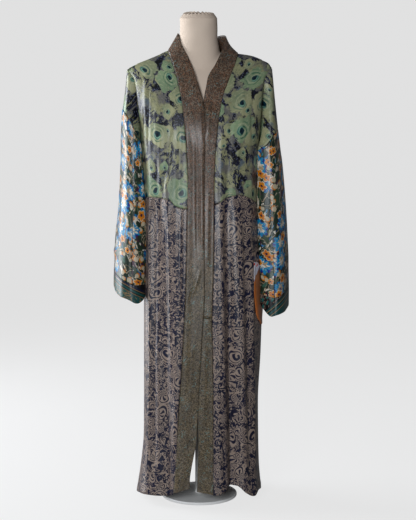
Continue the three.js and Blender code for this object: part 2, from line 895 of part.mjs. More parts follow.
for (const [side, inner, name] of [
  [-1, inR, "right"],
  [1, inL, "left"],
]) {
  const chest = bodiceFront(side).subtract(inner);
  const cap = lobe(side, false).subtract(insideBody);
  const whole = chest.add(cap).trimByPlane([0, -1, 0], SEAM / 2 - 0.02);
  put("bodice_front_" + name, main(whole.subtract(side < 0 ? roomR : roomL)), CLOTH_LOOK);
}
let back = bodiceBack().subtract(inR).subtract(inL);
for (const side of [-1, 1]) back = back.add(lobe(side, true).subtract(insideBody));
back = back.trimByPlane([0, 1, 0], SEAM / 2 - 0.02).subtract(roomR).subtract(roomL);
put("bodice_back", main(back), CLOTH_LOOK);
put("skirt_front_right", main(skirtFront(-1).subtract(roomR)), SKIRT_LOOK);
put("skirt_front_left", main(skirtFront(1).subtract(roomL)), SKIRT_LOOK);
put("skirt_back_right", skirtBack(-1), SKIRT_LOOK);
put("skirt_back_left", skirtBack(1), SKIRT_LOOK);
put("sleeve_right", main(sleeveTube(-1, CUFF_SEAM_R, ARM_SEAM_R, SLEEVE_COLS, 9, CLOTH).subtract(clearBody)), SLEEVE_LOOK);
put("sleeve_left", main(sleeveTube(1, CUFF_SEAM_L, ARM_SEAM_L, SLEEVE_COLS, 9, CLOTH).subtract(clearBody)), SLEEVE_LOOK);
put("cuff_right", sleeveTube(-1, CUFF_END_R, CUFF_SEAM_R, SLEEVE_COLS, 2, CLOTH), BAND_LOOK);
put("cuff_left", sleeveTube(1, CUFF_END_L, CUFF_SEAM_L, SLEEVE_COLS, 2, CLOTH), BAND_LOOK);
put("band_right", band(-1, BAND_R, 0, 1, 33), BAND_LOOK);
const splice = 16 / (BAND_L.length - 1);
put("band_left", band(1, BAND_L, 0, splice - 0.0001, 24), BAND_LOOK);
put("band_left_lower", band(1, BAND_L, splice + 0.0001, 1, 9), BAND_LOOK);
put("pocket_facing", pocket(), BAND_LOOK);
put("form_torso", formTorso(), FORM_LOOK);
put("form_neck", neckLoft(NECK_CAP), FORM_LOOK);
put("stand_pole", turned([[POLE_R, BASE_H + 0.2], [POLE_R, 614.8]], 24), METAL_LOOK);
put(
  "stand_base",
  turned([[BASE_R - 1, 0], [BASE_R, 1], [BASE_R, BASE_H - 2], [BASE_R - 2, BASE_H]], 40),
  METAL_LOOK,
);

export default group;
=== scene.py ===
"""Dresses the kimono and its form: fine cloth shells on the frame's panels,
printed silk, seams and hems, the jersey-covered form, its stand and the stage."""

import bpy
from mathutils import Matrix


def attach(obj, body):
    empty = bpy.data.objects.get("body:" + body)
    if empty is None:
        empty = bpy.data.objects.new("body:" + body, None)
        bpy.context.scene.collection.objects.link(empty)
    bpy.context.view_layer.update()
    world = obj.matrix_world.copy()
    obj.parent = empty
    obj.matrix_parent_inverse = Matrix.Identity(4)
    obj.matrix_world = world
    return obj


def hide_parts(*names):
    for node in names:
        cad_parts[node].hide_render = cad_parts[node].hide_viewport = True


bl_info = {
    "name": "Kimono on Dress Form",
    "version": (1, 0, 0),
    "blender": (4, 5, 0),
    "location": "3D View > Sidebar > Kimono",
    "description": "Builds the cloth, the form, the stand and the studio of a printed kimono",
    "category": "Object",
}

import math

import bmesh
import bpy
from bpy.props import FloatProperty, FloatVectorProperty, PointerProperty
from mathutils import Vector

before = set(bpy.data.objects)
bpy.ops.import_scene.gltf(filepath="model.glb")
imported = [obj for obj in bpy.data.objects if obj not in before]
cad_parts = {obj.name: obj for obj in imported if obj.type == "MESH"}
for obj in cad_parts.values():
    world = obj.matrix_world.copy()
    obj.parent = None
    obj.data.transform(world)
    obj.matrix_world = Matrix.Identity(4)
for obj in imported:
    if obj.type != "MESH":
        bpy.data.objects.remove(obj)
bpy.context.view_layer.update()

MM = 0.001
SEAM = 0.3  # gap between neighbouring pieces, mm
PLAN_POWER = 2.5  # squareness of the body in plan
CAP_FOOT, CAP_TOP = 1050.0, 1300.0  # where the shoulders start, and their ridge
CAP_FRONT, CAP_BACK = 1.55, 2.6  # how full the shoulders are
NECK_X, NECK_HALF, NECK_DROP = 11.0, 99.0, 28.0  # the back neck: middle, half width, depth
BACK_SEAM_X, VENT_TOP, VENT_GAP = -17.0, 250.0, 34.0  # the back seam and its vent
CLOTH_WAIST = 860.0  # height from which the bodice's flat cloth is counted
HEM_STITCH = 14  # height of the stitching above the hem
BAND_LIFT = 4.2  # how far the right band stands off the left one
VALLEY_DEPTH, VALLEY_WIDTH = 19, 0.42  # the crease beside a sleeve; its width in tube sizes
CAP_SAMPLE = 0.9  # share of a tube inside which the other tube's cloth is cut away
HALF = math.pi / 2

# height | half width right | half width left | depth front | depth back
BODY = (
    (8, 186, 183, 148, 130),
    (110, 170, 174, 143, 128),
    (196, 161.5, 172, 141, 127),
    (286, 160.5, 171, 140, 127),
    (434, 160, 178, 139, 126),
    (581, 159.6, 181.5, 138, 125),
    (698, 157, 178.5, 136, 122),
    (771, 156.7, 174, 134, 118),
    (857, 158.4, 170.5, 130, 113),
    (900, 160.5, 170, 131, 113),
    (986, 165, 170, 135, 116),
    (1015, 166, 170.8, 137, 118),
    (1050, 170, 175, 139, 120),
    (1100, 175, 181, 139, 122),
    (1150, 184, 186, 139, 122),
    (1200, 190.5, 191, 138, 121),
    (1250, 197, 197.5, 138, 120),
    (1300, 205.5, 207, 138, 120),
)
# x | top of the shoulders
RIDGE = (
    (-206, 1243), (-198, 1249), (-180, 1258), (-150, 1270), (-118, 1283),
    (-88, 1296), (-40, 1303), (11, 1304), (60, 1299), (110, 1288),
    (148, 1282), (178, 1271), (197, 1262), (207, 1249),
)
# height | outer x | inner x | half depth
SLEEVE_R = (
    (556, -247, -165.5, 82), (620, -247.5, -164.7, 81), (690, -244.5, -163.5, 79),
    (755, -240.5, -163, 76), (871, -230.5, -164.3, 71), (986, -225, -170.5, 66),
    (1008, -224.5, -171, 65), (1050, -224, -168, 63), (1106, -222.5, -165, 58),
    (1152, -215.5, -166, 50), (1209, -208.5, -170, 31), (1240, -206, -174, 8),
)
SLEEVE_L = (
    (536, 259.5, 187.2, 83), (567, 259.5, 187.2, 83), (630, 259, 186.4, 82),
    (690, 258.5, 184.5, 80), (755, 255.5, 179, 77), (871, 248, 174.8, 72),
    (986, 237, 176, 66), (1008, 233.5, 176.5, 65), (1050, 228.5, 173, 62),
    (1106, 222, 172, 57), (1157, 216.5, 172, 49), (1213, 211, 174, 31),
    (1246, 207.5, 176, 8),
)
LEAN = {-1: 0.16, 1: 0.12}  # how far the sleeves lean outwards at the front
SLEEVE_TIED, SLEEVE_FREE = 1080, 880  # heights between which a sleeve comes free
RIGHT_FOLD = (722, 9, 11, 0.5)  # a fold on its outer edge: height, reach, size up and round
# heights of the sleeve's joints at: outer | front | inner | back
ARM_SEAM = {-1: (1133, 1086, 1010, 1086), 1: (1074, 1036, 1006, 1046)}
CUFF_SEAM = {-1: (668, 636, 645, 668), 1: (630, 598, 626, 640)}
CUFF_END = {-1: (618, 587, 605, 622), 1: (570, 547, 586, 590)}
# small changes of a cuff's free edge: angle | width | lift
CORNER = {
    -1: ((0.38, 0.3, -7), (-0.3, 0.4, 3), (1.0, 0.35, 13)),
    1: ((0.28, 0.28, -7), (-0.5, 0.4, 3), (1.02, 0.4, 16)),
}
# lowest corner of each border and the tilt of its lines
BORDER = {-1: (-181.0, 578.0, math.radians(28)), 1: (209.0, 547.0, math.radians(-41))}
# x | height of the waist seam in front
WAIST = (
    (-170, 881), (-131, 884), (-81, 878), (-67, 862), (-33, 853), (42, 864),
    (53, 869), (81, 885), (114, 891), (142, 882), (172, 860),
)
# x | height of the front hem
HEM = (
    (-190, 13), (-169, 28), (-140, 31), (-98, 32), (-78, 39), (-62, 47),
    (-25, 62), (-6, 49), (17, 43), (40, 40), (74, 48), (91, 62), (116, 60),
    (130, 40), (154, 25), (173, 33), (186, 20),
)
# x at the waist | x at the hem | half width | rise at the waist | at the hem
SKIRT_FOLDS = (
    (-146, -158, 11, 1, 4), (-110, -96, 17, -7, -17), (-62, -62, 14, 4, 7),
    (54, 60, 12, 5, 7), (80, 103, 12, -8, -23), (103, 131, 12, 4, 8),
    (141, 156, 9, 3, 6),
)
BACK_FOLDS = (
    (-120, -128, 16, 3, 9), (-84, -88, 15, -5, -14), (-48, -50, 15, 3, 9),
    (20, 22, 15, 3, 9), (52, 56, 16, -5, -15), (92, 96, 16, 4, 10),
    (130, 136, 13, -3, -9),
)
# x | height | half width | half height | rise
BODICE_FOLDS = (
    (-88, 900, 12, 70, 5), (-112, 905, 11, 60, -4), (-136, 1010, 12, 90, 3),
    (62, 905, 10, 60, 4), (82, 900, 9, 60, -4), (136, 960, 12, 80, 3),
)
# small creases, from end to end: x0 | z0 | x1 | z1 | half width | rise
CREASES_FRONT = (
    (-84, 1250, -82, 1130, 2.2, -1.6), (-141, 1235, -140, 1010, 2.4, -2.4),
    (-148, 1235, -149, 1000, 7, 3.0), (-164, 1150, -150, 900, 6, -2.6),
    (-116, 1150, -118, 980, 8, 2.2), (-104, 1060, -112, 890, 6, 3.4),
    (-92, 1000, -100, 880, 4, -2.6), (-66, 1180, -80, 900, 6, 2.2),
    (-74, 1090, -92, 930, 5, -2.2), (-50, 1080, -56, 880, 5, 2.0),
    (124, 1230, 112, 1040, 8, 2.2), (150, 1150, 138, 930, 6, -2.6),
    (142, 1100, 146, 900, 5, 2.4), (92, 1120, 76, 920, 6, -2.6),
    (64, 1080, 58, 880, 5, 2.6), (112, 1040, 98, 900, 5, 2.2),
    (-137, 872, -139, 380, 4.5, 5.5), (-127, 872, -129, 420, 5, -5.0),
    (-86, 860, -80, 300, 5, 3.0), (-98, 820, -94, 420, 4, -2.4),
    (-50, 850, -54, 560, 4, 2.6), (-139, 400, -146, 60, 6, 5.0),
    (-116, 440, -112, 60, 7, 3.0), (-129, 400, -130, 90, 5, -4.0),
    (62, 850, 72, 300, 5, 2.8), (50, 820, 56, 420, 4, -2.0),
    (90, 720, 102, 100, 4, -2.6), (116, 830, 124, 260, 6, 3.0),
    (136, 600, 140, 120, 5, -2.8), (148, 720, 149, 500, 4, 3.4),
    (152, 480, 156, 80, 6, 2.6), (-60, 330, -84, 60, 6, 2.8),
    (58, 330, 72, 60, 6, -2.6),
)
CREASES_BACK = (
    (-140, 1180, -110, 950, 8, 1.5), (-60, 1230, -66, 960, 7, -1.3),
    (20, 1240, 20, 900, 7, 1.2), (70, 1180, 84, 940, 7, -1.4),
    (136, 1160, 120, 930, 8, 1.5), (-100, 820, -104, 200, 6, 1.6),
    (-30, 820, -34, 260, 6, -1.5), (38, 800, 40, 180, 6, 1.5),
    (110, 800, 112, 240, 6, -1.6), (-150, 760, -150, 160, 6, 1.5),
)
# the same on the bands
BAND_CREASES = (
    (2, 674, -28, 596, 3.5, 2.8), (-10, 660, -34, 590, 4, -1.6),
    (8, 1010, 9, 735, 4, 2.2), (-7, 1060, -5, 745, 4.5, -2.2),
    (-38, 1262, 2, 1140, 3.5, 1.8), (4, 1140, 12, 1005, 3, 2.0),
    (-20, 1150, -12, 1040, 5, -1.8), (34, 1180, 24, 1050, 5, 2.2),
    (20, 1170, 12, 1050, 4, -2.0), (66, 1225, 42, 1110, 5, 1.6),
    (26, 900, 24, 700, 5, 1.6), (-20, 480, -26, 330, 6, 1.6),
    (-40, 300, -34, 150, 6, 1.6), (16, 460, 14, 250, 6, 1.6),
)
# height | x of the band's outer seam
SEAM_R = (
    (30, -76), (112, -64.7), (269, -56.6), (374, -49.9), (484, -44.3),
    (602, -38.4), (746, -34.8), (853, -33.2), (917, -30.3), (989, -33),
    (1082, -39.2), (1156, -48.1), (1210, -59.6), (1251, -71.6), (1300, -88),
)
SEAM_L = (
    (30, 40.3), (269, 40.2), (410, 39.3), (538, 37.3), (674, 40.3),
    (781, 42), (882, 42.5), (960, 44.1), (1048, 49.3), (1100, 55.3),
    (1140, 61.5), (1172, 68.3), (1203, 79.8), (1236, 91.2), (1269, 103.2),
    (1300, 110),
)
# band rows: "back" x on the back neck or "front" height of the seam,
# then the free edge as x, y, z or as x, height on the body
BAND_R = (
    ("back", 7.85, (5.85, 75, 1330)), ("back", -20, (-20, 72, 1332)),
    ("back", -48, (-43, 60, 1337)), ("back", -72, (-56, 33, 1343)),
    ("back", -88, (-60, 2, 1344.5)), ("front", 1276, (-50, -31, 1314)),
    ("front", 1251, (-33, -56, 1280)), ("front", 1212, (-14.5, -79, 1236)),
    ("front", 1168, (-1, -99, 1194)), ("front", 1126, (10, -114, 1154)),
    ("front", 1082, (17, 1096)), ("front", 1030, (17, 1036)),
    ("front", 960, (15.3, 960)), ("front", 870, (14.3, 870)),
    ("front", 746, (14.9, 746)), ("front", 602, (15.3, 602)),
    ("front", 484, (8.4, 484)), ("front", 374, (2, 374)),
    ("front", 269, (-4, 269)), ("front", 196, (-7.5, 196)),
    ("front", 127, (-20, 127)), ("front", 80, (-26, 88)),
    ("front", 46, (-25, 62)),
)
BAND_L = (
    ("back", 8.15, (6.15, 75, 1330)), ("back", 42, (38, 70, 1336)),
    ("back", 74, (61, 53, 1343)), ("back", 98, (76, 27, 1339)),
    ("back", 110, (73, -2, 1320.5)), ("front", 1272, (61, -46, 1288)),
    ("front", 1240, (45, -68, 1254)), ("front", 1203, (27, -86, 1224)),
    ("front", 1166, (19.5, -98, 1190)), ("front", 1134, (12, -108, 1152)),
    ("front", 1100, (4, 1108)), ("front", 1048, (-1, 1050)),
    ("front", 960, (-5, 960)), ("front", 882, (-7, 882)),
    ("front", 781, (-8, 781)), ("front", 674, (-9, 674)),
    ("front", 547, (-11, 547)), ("front", 410, (-9, 410)),
    ("front", 320, (-4.5, 320)), ("front", 230, (-3, 230)),
    ("front", 150, (-3, 150)), ("front", 90, (-5, 90)), ("front", 41, (-6, 50)),
)
SPLICE_ROW = 16  # row of BAND_L at which its lower length is joined on
# height | front edge as an angle in degrees
POCKET = ((516, 70), (545, 58), (600, 52.5), (660, 51.5), (700, 53))
POCKET_FOOT, POCKET_TOP, POCKET_TOP_SIDE = 516.0, 700.0, 645.0
# height | half width | depth front | depth back
FORM = (
    (615, 116, 96, 84), (640, 128, 106, 94), (700, 138, 114, 102),
    (770, 134, 110, 100), (880, 112, 96, 84), (960, 126, 108, 92),
    (1050, 146, 122, 104), (1150, 158, 124, 106), (1230, 172, 124, 104),
    (1270, 182, 124, 102), (1300, 190, 123, 100),
)
FORM_TOP_IN = 9  # how far the form's shoulders lie under the cloth
FORM_VOXEL = 0.004  # m
NECK_MID, NECK_SIZE = (-1.5, 4.0), (53, 55)  # its middle, and its half width and half depth
# per cent of the way up | radius in hundredths of the neck's | height
NECK_PROFILE = (
    (0, 0, 1311.5), (2, 107, 1311.5), (4, 108.2, 1313.2), (8, 106.5, 1317), (16, 103.5, 1328),
    (26, 101, 1346), (50, 100, 1386), (56, 99, 1394), (62, 95, 1400),
    (68, 87, 1406), (72, 80, 1410), (78, 68, 1410.5), (88, 40, 1406),
    (100, 0, 1402),
)
# the torso's neck under that cover: height | half width | half depth
NECK_BASE = (
    (1180, 93, 67), (1232, 80, 64), (1262, 69, 61), (1288, 61.5, 60),
    (1313, 57.6, 59.6), (1324, 53, 55),
)
POLE_R, POLE_TOP, BASE_R, BASE_H = 12.5, 614.8, 110.0, 8.0
# the cut of what shows: width | length | area | how it is held | what holds it
CUTS = {
    "bodice_front_right": (0.31, 0.47, 0.092, "draped", "form_torso"),
    "bodice_front_left": (0.31, 0.45, 0.093, "draped", "form_torso"),
    "bodice_back": (0.60, 0.47, 0.230, "draped", "form_torso"),
    "skirt_front_right": (0.225, 0.87, 0.180, "hung", "bodice_front_right"),
    "skirt_front_left": (0.28, 0.87, 0.205, "hung", "bodice_front_left"),
    "skirt_back_right": (0.245, 0.865, 0.196, "hung", "bodice_back"),
    "skirt_back_left": (0.285, 0.855, 0.234, "hung", "bodice_back"),
    "sleeve_right": (0.44, 0.475, 0.160, "hung", "bodice_front_right"),
    "sleeve_left": (0.44, 0.455, 0.165, "hung", "bodice_front_left"),
    "cuff_right": (0.445, 0.055, 0.0205, "hung", "sleeve_right"),
    "cuff_left": (0.445, 0.06, 0.0215, "hung", "sleeve_left"),
    "band_right": (0.066, 1.46, 0.0765, "draped", "bodice_front_right"),
    "band_left": (0.072, 0.96, 0.0500, "draped", "bodice_front_left"),
    "band_left_lower": (0.05, 0.507, 0.0235, "hung", "band_left"),
    "pocket_facing": (0.09, 0.19, 0.0152, "hung", "skirt_front_left"),
}

# the stage, in metres: floor from front to back, radius of the curve, wall
FLOOR_WIDTH, FLOOR_NEAR, FLOOR_FAR, CURVE, WALL = 24, -8, 6, 3, 9
BACKDROP_GLOW, SKY_GLOW = 0.725, 0.13
LAMP_COLOR = (0.91, 0.955, 1.0)
# name | place | aim | width | height | watts
LAMPS = (
    ("Window", (-2.2, 0.7, 1.1), (0, 0, 0.7), 1.8, 2.2, 104),
    ("Front", (-0.7, -3.5, 1.3), (0, 0, 0.75), 1.2, 1.0, 84),
)
CAMERA_LENS, CAMERA_REACH, CAMERA_PITCH = 86.415, 3.6, math.radians(6.0)
CAMERA_AIM = (0.02523, 0.697)


# ---- reading the tables ------------------------------------------------------

def lerp(a, b, t):
    """The value a share t of the way from a to b."""
    return a + (b - a) * t


def clamp(v, lo=0.0, hi=1.0):
    return min(hi, max(lo, v))


def smooth(a, b, v):
    """0 at a and 1 at b, eased."""
    t = clamp((v - a) / (b - a))
    return t * t * (3 - 2 * t)


def eased(rows, v, col):
    """A table column at v, eased between its rows without overshoot."""
    n = len(rows)
    i = 0
    while i < n - 2 and v > rows[i + 1][0]:
        i += 1

    def step(k):
        return (rows[k + 1][col] - rows[k][col]) / (rows[k + 1][0] - rows[k][0])

    def slope(k):
        a, b = step(k - 1), step(k)
        return 0.0 if a * b <= 0 else 2 * a * b / (a + b)

    d = rows[i + 1][0] - rows[i][0]
    t = clamp((v - rows[i][0]) / d)
    m0 = (step(0) if i == 0 else slope(i)) * d
    m1 = (step(n - 2) if i == n - 2 else slope(i + 1)) * d
    p0, p1 = rows[i][col], rows[i + 1][col]
    return (
        (2 * t**3 - 3 * t * t + 1) * p0
        + (t**3 - 2 * t * t + t) * m0
        + (3 * t * t - 2 * t**3) * p1
        + (t**3 - t * t) * m1
    )


SAMPLES = {}


def read(rows, v, col):
    """The same value, from samples taken every half millimetre."""
    key = (id(rows), col)
    if key not in SAMPLES:
        count = int((rows[-1][0] - rows[0][0]) * 2) + 1
        SAMPLES[key] = [eased(rows, rows[0][0] + i / 2, col) for i in range(count + 1)]
    values = SAMPLES[key]
    f = clamp((v - rows[0][0]) * 2, 0, len(values) - 1.001)
    i = int(f)
    return values[i] + (values[i + 1] - values[i]) * (f - i)


def around(q, phi):
    """Value round a tube from its quarters: outer, front, inner, back."""
    a = sum(q) / 4
    s = (q[2] - q[0]) / 2
    c = (q[1] - q[3]) / 2
    b = (q[1] + q[3] - q[0] - q[2]) / 4
    return a + s * math.sin(phi) + c * math.cos(phi) + b * math.cos(2 * phi)


# ---- cloth surfaces ------------------------------------------------------------

def plan(s, c):
    """Radius of the squared-off plan, towards the side s and the front c."""
    return (abs(s) ** PLAN_POWER + abs(c) ** PLAN_POWER) ** (-1 / PLAN_POWER)


def folds(rows, x, h):
    """Hanging folds of the skirt, which deepen and widen towards the hem."""
    t = clamp((860 - h) / 830)
    rise = 0.0
    for x0, x1, w, r0, r1 in rows:
        d = (x - lerp(x0, x1, t)) / (w * (1 + 0.25 * t))
        if -3 < d < 3:
            rise += lerp(r0, r1, t) * math.exp(-d * d)
    return rise * smooth(905, 820, h)


def creases(rows, x, z):
    """Listed soft troughs and ridges, each fading at its two ends."""
    rise = 0.0
    for x0, z0, x1, z1, w, r in rows:
        t = (z0 - z) / (z0 - z1)
        if -0.15 < t < 1.15:
            d = (x - lerp(x0, x1, t)) / w
            if abs(d) < 3:
                rise += r * math.exp(-d * d) * smooth(-0.15, 0.2, t) * smooth(1.15, 0.8, t)
    return rise


def body(th, h, lift=0.0, fine=True):
    """A point on the cloth of the body.  th runs round it from the front, h is
    the height on the flat body, lift raises the cloth."""
    s, c = math.sin(th), math.cos(th)
    rr = plan(s, c)
    front = c >= 0
    x = read(BODY, h, 1 if s < 0 else 2) * rr * s
    k = clamp((h - CAP_FOOT) / (CAP_TOP - CAP_FOOT))
    p = CAP_FRONT if front else CAP_BACK
    depth = read(BODY, h, 3 if front else 4) * (1 - k**p) ** (1 / p)
    z = h if h <= CAP_FOOT else CAP_FOOT + k * (read(RIDGE, x, 1) - CAP_FOOT)
    y = depth * rr * abs(c)
    rise = folds(SKIRT_FOLDS if front else BACK_FOLDS, x, h)
    if front:
        for fx, fh, fw, fy, r in BODICE_FOLDS:
            rise += r * math.exp(-(((x - fx) / fw) ** 2) - ((h - fh) / fy) ** 2)
    if fine:
        rise += creases(CREASES_FRONT if front else CREASES_BACK, x, z)
    rise = rise * smooth(0, 0.45, abs(c)) + lift
    sign = -1 if front else 1
    return Vector((x + rise * s, sign * (y + SEAM / 2) - rise * c, z))


def angle_at(x, h, front=True):
    """The th at which the body's cloth reaches this x."""
    a, b = -HALF, HALF
    for _ in range(26):
        m = (a + b) / 2
        s = math.sin(m)
        if read(BODY, h, 1 if s < 0 else 2) * plan(s, math.cos(m)) * s < x:
            a = m
        else:
            b = m
    return m if front else math.pi - m


def sleeve_size(side, w):
    """Middle, half width, half depth and lean of a sleeve at the height w."""
    rows = SLEEVE_R if side < 0 else SLEEVE_L
    out, inn = read(rows, w, 1), read(rows, w, 2)
    lean = LEAN[side] * smooth(1200, 1000, w)
    return (out + inn) / 2, abs(out - inn) / 2, read(rows, w, 3), lean


def sleeve(side, phi, w, lift=0.0, fine=True):
    """A point on the cloth of a sleeve.  phi runs round it from the front."""
    mid, a, b, lean = sleeve_size(side, w)
    s, c = math.sin(phi), math.cos(phi)
    rr = plan(s, c)
    low = smooth(SLEEVE_TIED, SLEEVE_FREE, w)
    wave = 1.6 * low * math.cos(3 * phi + 0.6) + 1.2 * low * math.cos(5 * phi + side)
    if fine:
        # soft hanging ripples, and a few bends where the arm would be
        g = w * 0.001
        wave += low * (
            0.9 * math.sin(7 * phi + 4 * math.sin(5 * g + side) + 2)
            + 0.7 * math.sin(11 * phi + 3 * math.sin(8 * g) + side)
        )
        if side < 0:
            height, reach, tall, wide = RIGHT_FOLD
            turn = (phi + HALF + math.pi) % (2 * math.pi) - math.pi
            wave += reach * math.exp(-(((w - height) / tall) ** 2) - (turn / wide) ** 2)
        bends = smooth(0.2, 1.0, math.sin(w / 90 + side))
        wave += 1.1 * low * math.sin(w / 23 + 1.5 * phi) * bends
    y = -(b + wave + lift) * rr * c
    x = mid - side * (a + wave * 0.5 + lift) * rr * s + side * lean * y
    if fine and s > 0 and w < SLEEVE_TIED:
        # the inner wall rests against the side of the body
        wide = read(BODY, w, 1 if side < 0 else 2)
        deep = read(BODY, w, 3 if c >= 0 else 4)
        t = clamp(abs(y) / deep, 0, 0.98)
        rest = wide * (1 - t**PLAN_POWER) ** (1 / PLAN_POWER) + 1.6
        pull = smooth(0.1, 0.75, s) * smooth(1078, 1018, w) * smooth(0.75, 0.45, t)
        x = side * lerp(abs(x), min(abs(x), max(rest, abs(x) - 13)), pull)
    return Vector((x, y, w))


def corner(side, phi):
    """Pulls the free edge of a cuff down to one corner at the front."""
    rise = 0.0
    for middle, width, lift in CORNER[side]:
        d = (phi - middle + math.pi) % (2 * math.pi) - math.pi
        rise += lift * math.exp(-((d / width) ** 2))
    return rise


def in_sleeve(side, p):
    """Below 1 inside the sleeve tube."""
    mid, a, b, lean = sleeve_size(side, clamp(p.z, 960, 1246))
    n = PLAN_POWER
    return abs((p.x - mid - side * lean * p.y) / a) ** n + abs(p.y / b) ** n


def in_body(p):
    """Below 1 inside the body tube."""
    top = read(RIDGE, p.x, 1)
    if p.z >= top:
        return 9.0
    h = p.z
    if h > CAP_FOOT:
        h = CAP_FOOT + (h - CAP_FOOT) / (top - CAP_FOOT) * (CAP_TOP - CAP_FOOT)
    k = clamp((h - CAP_FOOT) / (CAP_TOP - CAP_FOOT))
    c = CAP_FRONT if p.y < 0 else CAP_BACK
    depth = read(BODY, h, 3 if p.y < 0 else 4) * (1 - k**c) ** (1 / c)
    n = PLAN_POWER
    return abs(p.x / read(BODY, h, 1 if p.x < 0 else 2)) ** n + abs(p.y / max(depth, 0.1)) ** n


def hem_at(x):
    """Height of the front hem."""
    return read(HEM, x, 1)


def waist_at(x, front):
    """Height of the waist seam."""
    return read(WAIST, x, 1) if front else lerp(881, 860, clamp((x + 165) / 335))


def neck_at(x):
    """Height of the back neck's seam on the flat body."""
    t = 1 - ((x - NECK_X) / NECK_HALF) ** 2
    return CAP_TOP if t <= 0 else CAP_TOP - NECK_DROP * math.sqrt(t)


def seam_x(side, h):
    """Where a band's outer seam runs."""
    return read(SEAM_R if side < 0 else SEAM_L, h, 1)


# ---- meshes -----------------------------------------------------------------------

def grid(bm, at, nu, nv, ring=False, cut=None, edge=None, flip=False, keep=None):
    """Adds a fine sheet to bm.  at(u, v) gives a point in mm.  The uv map "cut"
    holds the place on the flat cloth in metres, the layer "edge" the distance
    from the finished edges in metres.  cut and edge get the place a, b on the
    flat cloth and its size wa, wb in mm.  keep(p) tells which faces stay."""
    uv = bm.loops.layers.uv.get("cut") or bm.loops.layers.uv.new("cut")
    far = bm.verts.layers.float.get("edge") or bm.verts.layers.float.new("edge")
    points = [[at(i / nu, j / nv) for j in range(nv + 1)] for i in range(nu + 1)]
    su = [[0.0] * (nv + 1) for _ in range(nu + 1)]
    sv = [[0.0] * (nv + 1) for _ in range(nu + 1)]
    for j in range(nv + 1):
        for i in range(1, nu + 1):
            su[i][j] = su[i - 1][j] + (points[i][j] - points[i - 1][j]).length
    for i in range(nu + 1):
        for j in range(1, nv + 1):
            sv[i][j] = sv[i][j - 1] + (points[i][j] - points[i][j - 1]).length
    made = bmesh.ops.create_grid(bm, x_segments=nu, y_segments=nv, size=0.5)["verts"]
    where = {}
    for vert in made:
        i = round((vert.co.x + 0.5) * nu)
        j = round((vert.co.y + 0.5) * nv)
        where[vert] = (i, j)
        vert.co = points[i][j] * MM
        vert[far] = 1.0
        if edge:
            vert[far] = edge(i / nu, j / nv, su[i][j], sv[i][j], su[-1][j], sv[i][-1]) * MM
    faces = {f for v in made for f in v.link_faces}
    for f in faces:
        for loop in f.loops:
            i, j = where[loop.vert]
            a, b = su[i][j], sv[i][j]
            if cut:
                a, b = cut(a, b, su[-1][j], sv[i][-1], points[i][j])
            loop[uv].uv = (a * MM, b * MM)
        f.smooth = True
    if flip:
        bmesh.ops.reverse_faces(bm, faces=list(faces))
    if keep:
        gone = [f for f in faces if not keep(f.calc_center_median() / MM)]
        bmesh.ops.delete(bm, geom=gone, context="FACES")
    if ring:
        bmesh.ops.remove_doubles(bm, verts=[v for v in made if v.is_valid], dist=1e-6)


def finish_mesh(name, bm, material, nodes, thick=0.0):
    """Turns bm into the visible piece that stands for the named nodes."""
    mesh = bpy.data.meshes.new(name)
    bm.to_mesh(mesh)
    bm.free()
    obj = bpy.data.objects.new(name, mesh)
    bpy.context.scene.collection.objects.link(obj)
    mesh.materials.append(material)
    if thick:
        mod = obj.modifiers.new("Cloth", "SOLIDIFY")
        mod.thickness = thick
        mod.offset = 0.0
    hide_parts(*nodes)
    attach(obj, "root")
    for node in nodes:
        node in CUTS
    return obj


def valley(size, z):
    """How far cloth sinks back into the crease between the chest and a sleeve."""
    if not 0 < size < 3:
        return 0.0
    dip = VALLEY_DEPTH * math.exp(-(((size - 1) / VALLEY_WIDTH) ** 2))
    return dip * smooth(1000, 1060, z) * smooth(1242, 1150, z)


def tuck(d, reach=3.0, depth=0.5):
    """How far cloth sinks at a sewn edge, d mm away from it."""
    return -depth * math.exp(-((d / reach) ** 2))


def band_rows(side):
    """The rows of a band, each with the place of its seam on the body."""
    rows = []
    for kind, place, edge in BAND_R if side < 0 else BAND_L:
        if kind == "back":
            h = neck_at(place)
            seam = body(angle_at(place, min(h, CAP_TOP - 0.01), False), h, 0, False)
            seam.y -= 0.3
            seam.z += 1.9
        else:
            seam = body(angle_at(seam_x(side, place) - side * 0.45, place), place, 0, False)
        rows.append((kind, place, edge, seam))
    return rows


def band_at(side, rows, f, v):
    """A point on a band: f from its seam to its free edge, v down its length."""
    n = len(rows) - 1
    g = clamp(v) * n
    i = min(n - 1, int(g))
    t = g - i

    def point(r):
        _, place, edge, seam = r
        if len(edge) == 2:
            x = lerp(seam_x(side, place) - side * 0.45, edge[0], f)
            h = lerp(place, edge[1], f)
            return body(angle_at(x, h), h, 0, False)
        return seam.lerp(Vector(edge), f)

    a, b, c, d = (point(rows[int(clamp(i + k, 0, n))]) for k in (-1, 0, 1, 2))
    bend, twist = 2 * a - 5 * b + 4 * c - d, 3 * b - a - 3 * c + d
    p = (2 * b + (c - a) * t + bend * t * t + twist * t**3) * 0.5
    if side < 0:
        p.y -= BAND_LIFT * smooth(1250, 1170, p.z) * smooth(0.02, 0.5, f)
    return p


# ---- node helper -----------------------------------------------------------------------

class Value:
    """A node's output that takes + - * / and **, each as a new math node."""

    def __init__(self, net, socket):
        self.net, self.socket = net, socket

    def __add__(self, other):
        return self.net.m("ADD", self, other)

    def __sub__(self, other):
        return self.net.m("SUBTRACT", self, other)

    def __rsub__(self, other):
        return self.net.m("SUBTRACT", other, self)

    def __mul__(self, other):
        return self.net.m("MULTIPLY", self, other)

    def __truediv__(self, other):
        return self.net.m("DIVIDE", self, other)

    def __pow__(self, other):
        return self.net.m("POWER", self, other)


